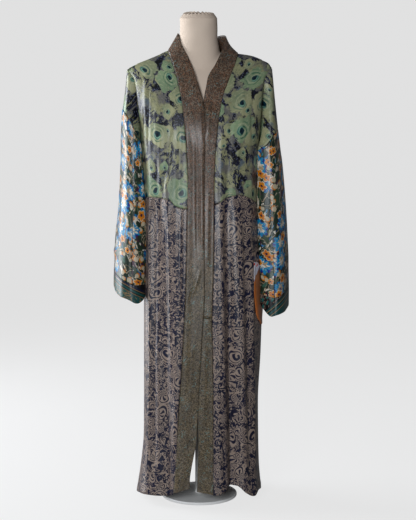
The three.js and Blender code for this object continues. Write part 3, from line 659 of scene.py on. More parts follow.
class Net:
    """Short calls for building one node tree.  A colour is a code or an output."""

    def __init__(self, tree):
        self.tree = tree

    def add(self, kind, **props):
        node = self.tree.nodes.new(kind)
        for key, value in props.items():
            setattr(node, key, value)
        return node

    def put(self, socket, value):
        if isinstance(value, Value):
            value = value.socket
        if isinstance(value, bpy.types.NodeSocket):
            self.tree.links.new(value, socket)
        elif isinstance(value, str):
            socket.default_value = rgb(value)
        elif value is not None:
            socket.default_value = value

    def fill(self, node, *values):
        """Links or sets the first inputs of a node, in order."""
        for socket, value in zip(node.inputs, values):
            self.put(socket, value)
        return node

    def m(self, op, a, b=None):
        return Value(self, self.fill(self.add("ShaderNodeMath", operation=op), a, b).outputs[0])

    def vec(self, op, a, b=None, scale=None):
        node = self.fill(self.add("ShaderNodeVectorMath", operation=op), a, b)
        if scale is not None:
            self.put(node.inputs["Scale"], scale)
        return Value(self, node.outputs["Value" if op == "LENGTH" else "Vector"])

    def split(self, a):
        node = self.fill(self.add("ShaderNodeSeparateXYZ"), a)
        return [Value(self, output) for output in node.outputs]

    def join(self, x, y, z=0.0):
        return self.fill(self.add("ShaderNodeCombineXYZ"), x, y, z).outputs[0]

    def step(self, v, lo, hi):
        """0 below lo, 1 above hi, eased (or turned round if hi is below lo)."""
        node = self.add("ShaderNodeMapRange", interpolation_type="SMOOTHSTEP")
        ends = (lo, hi, 0.0, 1.0) if hi > lo else (hi, lo, 1.0, 0.0)
        return Value(self, self.fill(node, v, *ends).outputs["Result"])

    def mix(self, f, a, b, blend="MIX"):
        node = self.add("ShaderNodeMix", data_type="RGBA", blend_type=blend)
        for place, value in zip(MIX_SOCKETS, (f, a, b)):
            self.put(node.inputs[place], value)
        return node.outputs[MIX_RESULT]

    def noise(self, vec, scale, detail=2.0, rough=0.5, warp=0.0, output="Fac"):
        node = self.add("ShaderNodeTexNoise", noise_dimensions="3D")
        for label, value in (
            ("Vector", vec), ("Scale", scale), ("Detail", detail),
            ("Roughness", rough), ("Distortion", warp),
        ):
            self.put(node.inputs[label], value)
        return Value(self, node.outputs[output])

    def cells(self, vec, scale, rand):
        node = self.add("ShaderNodeTexVoronoi", voronoi_dimensions="2D", feature="F1")
        for label, value in (("Vector", vec), ("Scale", scale), ("Randomness", rand)):
            self.put(node.inputs[label], value)
        return node

    def warp(self, vec, scale, amount, detail=2.0):
        """vec pushed about by noise, up to amount metres."""
        push = self.vec("SUBTRACT", self.noise(vec, scale, detail, output="Color"), (0.5, 0.5, 0.5))
        return self.vec("ADD", vec, self.vec("SCALE", push, scale=amount * 2))

    def polar(self, vec, cell):
        """Distance in metres, angle, x and y from the middle of a cell."""
        x, y, _ = self.split(self.vec("SUBTRACT", vec, cell.outputs["Position"]))
        return self.vec("LENGTH", self.join(x, y)), self.m("ARCTAN2", y, x), x, y

    def attribute(self, name):
        return self.add("ShaderNodeAttribute", attribute_name=name).outputs["Fac"]

    def bump(self, shader, height, strength, distance):
        """Raises the surface of a shader by a height map."""
        node = self.add("ShaderNodeBump")
        node.inputs["Strength"].default_value = strength
        node.inputs["Distance"].default_value = distance
        self.put(node.inputs["Height"], height)
        self.put(shader.inputs["Normal"], node.outputs["Normal"])


# where the colour sockets of a mix node are: factor, first, second, and the result
MIX_SOCKETS, MIX_RESULT = (0, 6, 7), 2


def rgb(code):
    """A display colour such as "8F8B8A" as the shader's linear colour."""
    parts = [int(code[i : i + 2], 16) / 255 for i in (0, 2, 4)]
    return (*(p / 12.92 if p <= 0.04045 else ((p + 0.055) / 1.055) ** 2.4 for p in parts), 1.0)


def group(name, outputs):
    """A new node group that takes the cloth vector and gives the named outputs."""
    tree = bpy.data.node_groups.new(name, "ShaderNodeTree")
    face = tree.interface
    face.new_socket("Vector", in_out="INPUT", socket_type="NodeSocketVector")
    for label, kind in outputs:
        face.new_socket(label, in_out="OUTPUT", socket_type=kind)
    net = Net(tree)
    start = net.add("NodeGroupInput")
    end = net.add("NodeGroupOutput")
    return tree, net, start.outputs["Vector"], end


COLOR, VALUE = "NodeSocketColor", "NodeSocketFloat"
TURN, PER_RADIAN = 6.283, 0.159  # radians in a turn, and turns in a radian
# radians for each metre of cloth: weave, stitches, hatching, net of diamonds
THREADS, STITCHES, HATCHING, DIAMONDS = 9000.0, 2300.0, 1500.0, 150.0
SOFT_EDGE = 0.0004  # half the blur at the edge of a printed line, m
HATCHED_FROM = 0.003  # border lines wider than this are hatched, m


def rose_print():
    """Painted roses: sage and mint petals round a dark eye, navy brush strokes."""
    tree, n, v, end = group("Rose Print", (("Color", COLOR),))
    p = n.warp(n.warp(v, 15, 0.010, 2), 62, 0.0026, 3)
    x, y, _ = n.split(p)
    along = n.join(x + y * 0.8, (y - x) * 0.45)
    brush = n.noise(n.vec("MULTIPLY", along, (1.0, 3.0, 1.0)), 120, 3, 0.6)
    wash = n.noise(v, 20, 2, 0.5)
    ground = n.mix(n.step(wash, 0.42, 0.56), "8A8886", "B2B292")
    haze = n.noise(n.vec("ADD", v, (0.4, 0.2, 0)), 27, 2)
    ground = n.mix(n.step(haze, 0.58, 0.7), ground, "7C8894")
    ground = n.mix(n.step(brush, 0.48, 0.62) * 0.4, ground, "66705C")
    ground = n.mix(n.step(brush, 0.42, 0.3) * 0.4, ground, "C6C9B0")
    streak = n.noise(along, 30, 5, 0.66, 0.7)
    finer = n.noise(n.vec("ADD", along, (0.3, 0.8, 0)), 70, 4, 0.62, 0.8)
    finer = (streak - 0.5) * 0.9 + finer
    ground = n.mix(n.step(finer, 0.56, 0.59), ground, "2E3462")
    ground = n.mix(n.step(streak, 0.53, 0.55), ground, "2A2E54")
    ground = n.mix(n.step(finer, 0.6, 0.63), ground, "10142E")
    ground = n.mix(n.step(streak, 0.56, 0.58), ground, "0E1022")
    ground = n.mix(n.step(brush, 0.57, 0.61) * n.step(streak, 0.53, 0.55), ground, "8088A0")
    fleck = n.step(n.noise(n.vec("ADD", p, (0.2, 0.6, 0)), 88, 2, 0.5), 0.63, 0.68)
    ground = n.mix(fleck * 0.6, ground, "9A9A6C")
    color = ground
    for scale, shift, size, share, rand in (
        (17.0, (0.17, 0.41, 0), 0.019, 0.45, 0.95),
        (12.0, (0.0, 0.0, 0), 0.035, 0.12, 0.8),
    ):
        q = n.vec("ADD", p, shift)
        cell = n.cells(q, scale, rand)
        r1, r2, r3 = n.split(cell.outputs["Color"])
        r, ang, dx, dy = n.polar(q, cell)
        # the eye sits off the middle, so the petals crowd to one side
        ex = dx + (r1 - 0.5) * (size * 0.7)
        ey = dy + (r2 - 0.5) * (size * 0.7)
        eye = n.vec("LENGTH", n.join(ex, ey))
        turn = n.m("ARCTAN2", ey, ex)
        radius = (r3 * 0.4 + 0.7) * size
        swing = n.m("SINE", ang * 3.0 + r1 * 9.0) * 0.09
        rough = n.noise(p, 70, 3, 0.6) - 0.5
        edge = r / radius + swing + rough
        inside = n.step(edge, 1.04, 0.92) * n.step(r2, share, share + 0.01)
        t = eye / radius
        spot = turn + r3 * TURN
        shade = n.m("COSINE", spot) * 0.5 + 0.5
        petal = n.mix(n.step(r1, 0.62, 0.66), "BDBD9C", "A6BA9A")
        petal = n.mix(shade * 0.55, petal, "81947E")
        petal = n.mix(n.step(brush, 0.5, 0.66) * 0.5, petal, "CFD0B4")
        curve = t * 3.1 + spot * PER_RADIAN
        curve = n.m("SINE", (curve + rough * 0.5) * TURN)
        part = n.step(n.noise(q, 42, 1.5), 0.44, 0.56)
        lines = n.step(curve, 0.45, 0.9) * part * n.step(t, 0.95, 0.45)
        petal = n.mix(lines * 0.8, petal, n.mix(n.step(r1, 0.4, 0.5), "4F7F76", "2F7460"))
        lit = n.step(curve, -0.4, -0.9) * n.step(t, 0.8, 0.4)
        petal = n.mix(lit * 0.55, petal, "CDD3B8")
        halo = n.step(t + shade * 0.3, 0.5, 0.33) * 0.85
        petal = n.mix(halo, petal, "3C8280")
        petal = n.mix(n.step(curve, 0.1, 0.7) * halo, petal, "A3C4AE")
        petal = n.mix(n.step(t + rough * 0.25, 0.235, 0.19), petal, "0E4452")
        petal = n.mix(n.step(t + shade * 0.12, 0.15, 0.09), petal, "121D33")
        color = n.mix(inside, color, petal)
    n.put(end.inputs["Color"], color)
    return tree


def scroll_print():
    """Dense navy scrolls, curls and drops on taupe."""
    tree, n, v, end = group("Scroll Print", (("Color", COLOR),))
    ground = n.mix(n.noise(v, 40, 2), "938379", "BFAFA4")
    p = n.warp(n.warp(v, 20, 0.006, 1), 75, 0.0025, 2)
    # leafy filling: broad contour lines of a noise, broken by blots
    wave = n.noise(p, 33, 1.2, 0.5, 2.0)
    line = n.m("ABSOLUTE", n.m("FRACT", wave * 5.4) - 0.5)
    leaf = n.step(line, 0.35, 0.3)
    blob = n.step(n.noise(n.vec("ADD", p, (0.5, 0.2, 0)), 70, 2, 0.6), 0.56, 0.59)
    hole = n.step(n.noise(n.vec("ADD", p, (0.1, 0.7, 0)), 86, 1.5, 0.6), 0.4, 0.36)
    mark = n.m("MAXIMUM", leaf, blob) * (1.0 - hole)
    for scale, shift, size, share in (
        (31.0, (0.31, 0.12, 0), 0.0125, 0.3),
        (17.5, (0, 0, 0), 0.025, 0.5),
    ):
        q = n.vec("ADD", n.warp(n.warp(v, 13, 0.012, 1), 50, 0.003), shift)
        cell = n.cells(q, scale, 0.85)
        r1, r2, r3 = n.split(cell.outputs["Color"])
        r, ang, _, _ = n.polar(q, cell)
        # a drop: the outline pulls out to a curled tip on one side
        tip = ang + r1 * TURN
        bent = tip + r * 52.0
        pull = ((n.m("COSINE", bent) + 1.0) * 0.5) ** 3.0 * 0.75
        t = r / ((pull + 0.58) * size)
        picked = n.step(r2, share, share + 0.01)
        inside = n.step(t, 1.12, 1.06) * picked
        spiral = n.m("FRACT", r * (1.5 / size) + tip * PER_RADIAN)
        curl = n.step(spiral, 0.2, 0.28) * n.step(spiral, 0.8, 0.72)
        veins = n.step(n.m("SINE", tip * 7.0 + t * 7.0), -0.1, 0.3)
        filling = curl * n.step(r3, 0.32, 0.3) + veins * n.step(r3, 0.3, 0.32)
        filling = filling * n.step(t, 0.66, 0.6)
        rim = n.step(t, 0.72, 0.77) * n.step(t, 0.92, 0.87)
        drop = n.m("MAXIMUM", filling, rim)
        mark = mark * (1.0 - inside) + drop * inside
    tone = n.mix(n.noise(v, 25, 2), "0A0F2C", "19204C")
    n.put(end.inputs["Color"], n.mix(mark, ground, tone))
    return tree


def flower(n, v, scale, rand, shift, size, petals, depth):
    """One layer of flowers: a mask, the share of the radius, an angle
    and two numbers drawn for each flower."""
    q = n.vec("ADD", v, shift)
    cell = n.cells(q, scale, rand)
    r1, r2, r3 = n.split(cell.outputs["Color"])
    r, ang, _, _ = n.polar(q, cell)
    spin = ang * (petals / 2) + r1 * TURN
    leafs = n.m("ABSOLUTE", n.m("COSINE", spin)) ** 0.8
    radius = (leafs * depth + (1.0 - depth)) * size
    radius = radius * (r3 * 0.4 + 0.75)
    t = r / radius
    return n.step(t, 1.04, 0.97), t, ang + r1 * TURN, r2, r3


def bloom_print():
    """Garden flowers on dark green: blue blooms, orange stars, cream buds."""
    tree, n, v, end = group("Bloom Print", (("Color", COLOR),))
    p = n.warp(n.warp(v, 26, 0.006, 1), 95, 0.002, 2)
    x, y, _ = n.split(p)
    leaning = n.join(x + y * 0.35, y * 0.6)
    color = n.mix(n.step(n.noise(leaning, 34, 2), 0.48, 0.56), "2C4234", "46604C")
    leaf = n.noise(n.vec("ADD", leaning, (0.3, 0, 0)), 42, 1)
    color = n.mix(n.step(leaf, 0.66, 0.69), color, "4E7A6C")
    plum = n.noise(n.vec("ADD", leaning, (0.7, 0.3, 0)), 58, 1.5, 0.5, 0.8)
    color = n.mix(n.step(plum, 0.615, 0.63), color, "582A4C")
    # loose cream and blue petals
    for shift, scale, cutoff, low, high in (
        ((0.9, 0.4, 0), 52, 0.635, "B09A76", "E6DFD2"),
        ((0.5, 0.1, 0), 44, 0.63, "1A4AA4", "1A9CC4"),
        ((0.2, 0.8, 0), 60, 0.65, "C0B6A4", "EEEAE2"),
    ):
        q = n.vec("ADD", leaning, shift)
        patch = n.noise(q, scale, 1.5, 0.55, 1.2)
        tone = n.mix(n.step(n.noise(q, scale * 1.6, 2), 0.42, 0.54), low, high)
        color = n.mix(n.step(patch, cutoff, cutoff + 0.012), color, tone)
    stem = n.m("ABSOLUTE", n.noise(n.vec("ADD", leaning, (0.6, 0.9, 0)), 34, 1, 0.5, 0.6) - 0.5)
    color = n.mix(n.step(stem, 0.016, 0.009), color, "BFAE98")
    # cream buds with an orange rim on one side
    inside, t, ang, lot, _ = flower(n, p, 46.0, 0.95, (0.11, 0.53, 0), 0.0085, 2, 0.25)
    low = t + n.m("COSINE", ang) * 0.35
    bud = n.mix(n.step(low, 0.72, 0.9), "CCC2AC", "D28A26")
    color = n.mix(inside * n.step(lot, 0.5, 0.52), color, bud)
    # big blooms with a ragged blue rim
    inside, t, ang, lot, other = flower(n, p, 17.0, 0.75, (0.02, 0.06, 0), 0.026, 9, 0.24)
    streak = n.m("SINE", ang * 11.0) * 0.14
    ragged = (n.noise(p, 85, 3, 0.6) - 0.5) * 1.5
    tone = t + streak + ragged
    bloom = n.mix(n.step(n.noise(p, 70, 2), 0.42, 0.54), "C0AC8C", "EAE4D8")
    bloom = n.mix(n.step(tone, 0.46, 0.56), bloom, "1E9CC8")
    bloom = n.mix(n.step(tone, 0.9, 0.98), bloom, "1A389E")
    bloom = n.mix(n.step(tone + other * 0.3, 0.12, 0.05), bloom, "3A3F96")
    color = n.mix(inside * n.step(lot, 0.34, 0.35), color, bloom)
    # orange stars with a cream border and an indigo heart
    inside, t, _, lot, _ = flower(n, p, 27.0, 0.9, (0.4, 0.2, 0), 0.0135, 5, 0.42)
    petal = n.mix(n.step(t, 0.9, 0.84), "E4DCCC", "E29A1C")
    petal = n.mix(n.step(n.noise(p, 150, 2), 0.5, 0.6) * n.step(t, 0.76, 0.7), petal, "C8700C")
    petal = n.mix(n.step(t, 0.3, 0.24), petal, "241C50")
    color = n.mix(inside * n.step(lot, 0.58, 0.59), color, petal)
    n.put(end.inputs["Color"], color)
    return tree


def stripe(n, y, lo, hi):
    """1 between two places along y, with soft edges."""
    return n.step(y, lo - SOFT_EDGE, lo + SOFT_EDGE) * n.step(y, hi + SOFT_EDGE, hi - SOFT_EDGE)


def border_print(name, lines, scrolls):
    """Lines along a cuff (from, to, colour, in metres from its lowest corner)
    and the zone that holds scrolls."""
    tree, n, v, end = group(name, (("Color", COLOR),))
    x, y, _ = n.split(n.warp(v, 90, 0.0006))
    color = n.mix(n.noise(v, 60, 2), "070A0E", "11161A")
    low, high, inner, outer = scrolls
    zone = stripe(n, y, low, high)
    wave = n.noise(n.warp(v, 40, 0.004), 46, 1, 0.5, 1.6)
    line = n.m("ABSOLUTE", n.m("FRACT", wave * 5.0) - 0.5)
    color = n.mix(zone, color, inner)
    color = n.mix(zone * n.step(line, 0.15, 0.1), color, outer)
    cell = n.cells(v, 62.0, 0.5)
    dot = n.step(cell.outputs["Distance"], 0.3, 0.24) * zone
    color = n.mix(dot, color, "1A5C5A")
    hatch = n.step(n.m("SINE", (x + y) * HATCHING), -0.2, 0.2)
    for lo, hi, tone in lines:
        color = n.mix(stripe(n, y, lo, hi), color, tone)
        if hi - lo > HATCHED_FROM:
            color = n.mix(hatch * stripe(n, y, lo, hi) * 0.5, color, "0A2A2C")
    n.put(end.inputs["Color"], color)
    return tree


def right_border():
    return border_print("Right Border Print", (
        (0.0240, 0.0254, "A68A66"), (0.0285, 0.0335, "15605F"),
        (0.0366, 0.0380, "A68A66"), (0.0400, 0.0440, "19164A"),
    ), (-0.02, 0.0232, "0F5152", "B08E62"))


def left_border():
    return border_print("Left Border Print", (
        (-0.03, 0.0012, "0F4648"), (0.0018, 0.0032, "9C8F6E"), (0.0062, 0.0108, "135556"),
        (0.0150, 0.0164, "9C8F6E"), (0.0176, 0.0210, "0F4648"),
    ), (0.0240, 0.09, "0D0B10", "7C6A5E"))


def mosaic_print():
    """Fine broken mosaic: taupe and copper above, olive grey below."""
    tree, n, v, end = group("Mosaic Print", (("Color", COLOR),))
    x, y, _ = n.split(v)
    cell = n.cells(n.warp(v, 160, 0.001), 460.0, 0.95)
    r1, r2, r3 = n.split(cell.outputs["Color"])
    low = n.step(y + n.noise(v, 9, 1) * 0.2, 0.72, 1.02)
    color = n.mix(low, "765F4E", "766A54")
    color = n.mix(n.step(r1, 0.5, 0.54) * 0.8, color, n.mix(low, "A27A62", "948468"))
    color = n.mix(n.step(r1, 0.76, 0.8) * 0.9, color, "A09282")
    color = n.mix(n.step(r2, 0.72, 0.76) * 0.8, color, "2C2624")
    patch = n.step(n.noise(v, 36, 2, 0.6), 0.5, 0.64)
    aqua = n.step(r3, 0.84, 0.88) * (patch * 0.75 + 0.1)
    color = n.mix(aqua, color, "8DB3B2")
    # a faint net of diamonds
    slant = n.m("ABSOLUTE", n.m("SINE", (x + y) * DIAMONDS))
    other = n.m("ABSOLUTE", n.m("SINE", (x - y) * DIAMONDS))
    net = n.step(n.m("MINIMUM", slant, other), 0.14, 0.06)
    net = net * n.step(n.noise(v, 28, 2), 0.45, 0.6)
    color = n.mix(net * 0.45, color, "A8A6A2")
    color = n.mix(n.step(n.noise(v, 14, 3, 0.6), 0.44, 0.64) * 0.35, color, "5E544C")
    n.put(end.inputs["Color"], color)
    return tree


def pocket_print():
    """Lilac white with red and violet spots above, mottled orange below."""
    tree, n, v, end = group("Pocket Print", (("Color", COLOR),))
    x, y, _ = n.split(v)
    wave = (n.noise(v, 60, 2) - 0.5) * 0.05
    top = n.step(y + (wave - x * 0.8), 0.142, 0.148)
    low = n.mix(n.noise(v, 70, 4, 0.65), "B8622C", "E8924A")
    tan = n.mix(n.noise(v, 60, 3, 0.65), "8A5A40", "C08258")
    low = n.mix(n.step(x, 0.006, 0.018), low, tan)
    high = n.mix(n.noise(v, 50, 2), "C0BED0", "ECEAF0")
    cell = n.cells(v, 85.0, 0.9)
    r1, r2, _ = n.split(cell.outputs["Color"])
    spot = n.step(n.m("ADD", cell.outputs["Distance"], n.noise(v, 160, 2) * 0.3), 0.56, 0.48)
    tone = n.mix(n.step(r1, 0.6, 0.62), "CC2414", "443090")
    high = n.mix(spot * n.step(r2, 0.35, 0.37), high, tone)
    n.put(end.inputs["Color"], n.mix(top, low, high))
    return tree


def weave_height():
    """Height of the silk: a fine uneven weave, slubs, and the sewn edges."""
    tree, n, v, end = group("Silk Weave", (("Height", VALUE), ("Gloss", VALUE)))
    x, y, _ = n.split(v)
    warp = n.m("SINE", x * THREADS)
    weft = n.m("SINE", y * THREADS)
    slub = n.noise(n.vec("MULTIPLY", v, (1.0, 8.0, 1.0)), 180, 2)
    crease = n.noise(n.vec("MULTIPLY", v, (1.0, 0.35, 1.0)), 34, 3, 0.55)
    h = warp * weft * 0.02 + slub * 0.12 + crease * 1.1
    edge = n.attribute("edge")
    dash = n.step(n.m("SINE", (x + y) * STITCHES), -0.3, 0.3)
    line = n.step(edge, 0.0012, 0.0018) * n.step(edge, 0.0026, 0.002)
    h = h - line * dash * 0.5
    n.put(end.inputs["Height"], h)
    n.put(end.inputs["Gloss"], crease * 0.16 + 0.3)
    return tree


def new_material(name):
    mat = bpy.data.materials.new(name)
    mat.use_nodes = True
    return mat, Net(mat.node_tree), mat.node_tree.nodes["Principled BSDF"]


def cloth_material(name, tree, weave, depth, gain):
    """A print on silk, on the flat cloth's own uv map.  depth deepens its darks,
    gain sets its brightness."""
    mat, n, shader = new_material(name)
    uv = n.add("ShaderNodeUVMap", uv_map="cut").outputs["UV"]
    look = n.fill(n.add("ShaderNodeGroup", node_tree=tree), uv)
    silk = n.fill(n.add("ShaderNodeGroup", node_tree=weave), uv)
    # painted shade: the outside of the cloth is darkened towards near black (1C1C22) within 1.6 mm
    # of its seams and finished edges
    seam_shade = n.step(n.attribute("edge"), 0.0016, 0.0004) * 0.1
    dye = n.fill(n.add("ShaderNodeGamma"), look.outputs["Color"], depth).outputs["Color"]
    front = n.mix(1.0, dye, (gain, gain * 0.985, gain * 0.96, 1.0), "MULTIPLY")
    back = n.add("ShaderNodeNewGeometry").outputs["Backfacing"]
    seam_shade = seam_shade * n.m("SUBTRACT", 1.0, back)
    n.put(shader.inputs["Base Color"], n.mix(seam_shade, front, "1C1C22"))
    n.put(shader.inputs["Roughness"], silk.outputs["Gloss"])
    n.bump(shader, silk.outputs["Height"], 0.5, 0.0012)
    shader.inputs["Specular IOR Level"].default_value = 0.4
    return mat


def plain_material(name, low, high, scale, rough, bump, distance):
    """Two close tones, mottled at a scale, with a fine grain."""
    mat, n, shader = new_material(name)
    place = n.add("ShaderNodeTexCoord").outputs["Object"]
    tone = n.noise(place, scale, 4, 0.6)
    fine = n.noise(place, scale * 30, 2, 0.5)
    n.put(shader.inputs["Base Color"], n.mix(tone, low, high))
    n.put(shader.inputs["Roughness"], fine * 0.12 + rough)
    n.bump(shader, fine + tone, bump, distance)
    return mat


MATERIALS = {}


def material(name):
    """A print's or a plain finish's material, made when a piece first asks for it."""
    if name not in MATERIALS:
        if "weave" not in MATERIALS:
            MATERIALS["weave"] = weave_height()
        prints = {
            "bodice": (rose_print, 1.3, 0.74), "skirt": (scroll_print, 1.2, 0.78),
            "sleeve": (bloom_print, 1.25, 0.72), "band": (mosaic_print, 1.2, 0.66),
            "cuff_right": (right_border, 1.1, 0.7), "cuff_left": (left_border, 1.0, 0.9),
            "pocket": (pocket_print, 1.1, 0.9),
        }
        if name in prints:
            label = name.replace("_", " ").title() + " Silk"
            look, depth, gain = prints[name]
            MATERIALS[name] = cloth_material(label, look(), MATERIALS["weave"], depth, gain)
        else:
            opts = bpy.context.scene.kimono
            low, high = (tuple(getattr(opts, name + end)) for end in ("_low", "_high"))
            # mottling, roughness, strength and height of the grain
            label, *finish = {
                "form": ("Form Jersey", 9, 0.8, 0.25, 0.0006),
                "stand": ("Stand Paint", 5, 0.5, 0.08, 0.0003),
            }[name]
            MATERIALS[name] = plain_material(label, low, high, *finish)
    return MATERIALS[name]


def color_prop(name, description, code):
    return FloatVectorProperty(
        name=name, description=description, default=rgb(code),
        size=4, min=0.0, max=1.0, subtype="COLOR",
    )


# ---- operators ---------------------------------------------------------------------------

class KimonoSettings(bpy.types.PropertyGroup):
    cloth: FloatProperty(
        name="Cloth", description="Thickness of a single cloth panel",
        default=0.0012, min=0.0005, max=0.003, unit="LENGTH",
    )
    band: FloatProperty(
        name="Band", description="Thickness of the doubled neck band",
        default=0.0018, min=0.001, max=0.003, unit="LENGTH",
    )
    form_low: color_prop("Form Shade", "Darker tone of the form's jersey", "C8B5A4")
    form_high: color_prop("Form Light", "Lighter tone of the form's jersey", "D3C1B0")
    stand_low: color_prop("Stand Shade", "Darker tone of the stand's paint", "E9E8E5")
    stand_high: color_prop("Stand Light", "Lighter tone of the stand's paint", "F1F0EE")


class KIMONO_OT_bodice(bpy.types.Operator):
    """Builds the two bodice fronts and the bodice back, each with its sleeve caps"""

    bl_idname = "kimono.bodice"
    bl_label = "Build Bodice"

    def execute(self, context):
        opts = context.scene.kimono
        for side, name in ((-1, "right"), (1, "left")):
            bm = bmesh.new()
            grid(
                bm, lambda u, v: self.front(side, u, v), 64, 150,
                cut=lambda a, b, wa, wb, p: (
                    (wa - a if side < 0 else a + 610) + 30, p.z - CLOTH_WAIST
                ),
                edge=lambda u, v, a, b, wa, wb: min(wa - a if side < 0 else a, b),
                keep=lambda p: p.z < 960 or in_sleeve(side, p) > CAP_SAMPLE,
            )
            self.cap(bm, side, False)
            finish_mesh("bodice_front_" + name + "_cloth", bm, material("bodice"),
                        ["bodice_front_" + name], opts.cloth)
        bm = bmesh.new()
        grid(
            bm, self.back, 130, 150,
            cut=lambda a, b, wa, wb, p: (a - wa / 2 + 500, p.z - CLOTH_WAIST),
            edge=lambda u, v, a, b, wa, wb: min(b, wb - b),
            keep=lambda p: p.z < 960 or min(in_sleeve(-1, p), in_sleeve(1, p)) > CAP_SAMPLE,
        )
        for side in (-1, 1):
            self.cap(bm, side, True)
        finish_mesh("bodice_back_cloth", bm, material("bodice"),
                    ["bodice_back"], opts.cloth)
        return {"FINISHED"}

    def front(self, side, u, v):
        """u runs from the side seam or the band to the other, v up from the waist."""
        t = 1 - (1 - v) ** 1.35
        h = lerp(870, CAP_TOP, t)
        th0 = angle_at(seam_x(side, h), h)
        th = lerp(-HALF, th0, u) if side < 0 else lerp(th0, HALF, u)
        s = math.sin(th)
        x = read(BODY, 870, 1 if s < 0 else 2) * plan(s, math.cos(th)) * s
        low = waist_at(x, True) + SEAM / 2
        h = lerp(low, CAP_TOP, t)
        inner = abs(body(th, h, 0, False).x - seam_x(side, h))
        lift = tuck(h - low) * smooth(1250, 1150, h) + tuck(inner) * smooth(1280, 1200, h)
        lift += self.gathers(x, h - low)
        p = body(th, h, lift)
        if h > 990:
            p.y = min(p.y + valley(in_sleeve(side, body(th, h, 0, False)), p.z), -1.0)
        return p

    def back(self, u, v):
        """u runs from side seam to side seam, v up from the waist to the neck."""
        th = lerp(math.pi + HALF, HALF, u)
        t = 1 - (1 - v) ** 1.35
        s = math.sin(th)
        rr = plan(s, math.cos(th))
        x0 = read(BODY, 1290, 1 if s < 0 else 2) * rr * s
        x1 = read(BODY, 880, 1 if s < 0 else 2) * rr * s
        low = waist_at(x1, False) + SEAM / 2
        h = lerp(low, neck_at(x0), t)
        return body(th, h, tuck(h - low) + self.gathers(x1, h - low))

    def gathers(self, x, up):
        """Small gathers where the skirt is sewn on."""
        return 0.5 * math.sin(x / 2.3) * math.exp(-((up / 9) ** 2))

    def cap(self, bm, side, back):
        """Adds the top of the sleeve that is cut in one with the bodice."""
        top = 1240 if side < 0 else 1246

        def at(u, v):
            a = lerp(-HALF, HALF, u)
            phi = -math.pi - a if back else a
            low = around(ARM_SEAM[side], phi) + SEAM / 2
            w = lerp(low, top, 1 - (1 - v) ** 1.5)
            p = sleeve(side, phi, w, tuck(w - low, 3, 0.7))
            if back:
                p.y += SEAM / 2
            else:
                sink = valley(in_body(sleeve(side, phi, w, 0, False)), w)
                p.y = min(p.y - SEAM / 2 + sink, -1.0)
            return p

        grid(
            bm, at, 56, 60,
            cut=lambda a, b, wa, wb, p: (
                (230 - a if side < 0 else 840 - a) + (1300 if back else 0), p.z - CLOTH_WAIST
            ),
            edge=lambda u, v, a, b, wa, wb: b,
            flip=(side > 0) != back, keep=lambda p: in_body(p) > CAP_SAMPLE,
        )


class KIMONO_OT_skirt(bpy.types.Operator):
    """Builds the four skirt panels, with the waist seam, hems and the back vent"""

    bl_idname = "kimono.skirt"
    bl_label = "Build Skirt"

    def execute(self, context):
        opts = context.scene.kimono
        # side | front | columns | rows | place across the flat cloth
        for side, front, nu, nv, place in (
            (-1, True, 72, 210, 0), (-1, False, 70, 200, 520),
            (1, True, 72, 210, 260), (1, False, 70, 200, 780),
        ):
            bm = bmesh.new()
            grid(
                bm, lambda u, v: self.panel(side, u, v, front), nu, nv,
                cut=lambda a, b, wa, wb, p: ((wa - a if side < 0 else a) + place, p.z),
                edge=lambda u, v, a, b, wa, wb: min(
                    wb - b, abs(b - HEM_STITCH) + 1.6, wa - a if side < 0 else a
                ),
            )
            node = "skirt_" + ("front" if front else "back") + ("_right" if side < 0 else "_left")
            finish_mesh(node + "_cloth", bm, material("skirt"), [node], opts.cloth)
        return {"FINISHED"}

    def panel(self, side, u, v, front):
        """u runs across one panel, v up from the hem to the waist."""
        h0 = lerp(30, 870, v)
        if front:
            th0 = angle_at(seam_x(side, h0), h0)
            th = lerp(-HALF, th0, u) if side < 0 else lerp(th0, HALF, u)
        else:
            gap = SEAM / 2 + VENT_GAP * (0.6 if side > 0 else 0.5) * smooth(VENT_TOP, 175, h0)
            th0 = angle_at(BACK_SEAM_X + side * gap, h0, False)
            th = lerp(math.pi + HALF, th0, u) if side < 0 else lerp(th0, HALF, u)
        s = math.sin(th)
        rr = plan(s, math.cos(th))

        def x(h):
            return read(BODY, h, 1 if s < 0 else 2) * rr * s

        low = hem_at(x(30))
        if not front:
            low = lerp(30, low, smooth(0.75, 1, abs(s)))
        top = waist_at(x(870 if front else 860), front) - SEAM / 2
        h = lerp(low, top, v)
        # turned hem: a faint roll, with small puckers along its stitching
        lift = tuck(top - h) + 0.4 * math.exp(-(((h - low - 8) / 7) ** 2))
        lift += 0.45 * math.sin(x(30) / 3.1) * math.exp(-(((h - low - HEM_STITCH) / 6) ** 2))
        lift += 0.6 * math.sin(x(860) / 2.6 + 1) * math.exp(-(((top - h) / 12) ** 2))
        return body(th, h, lift)


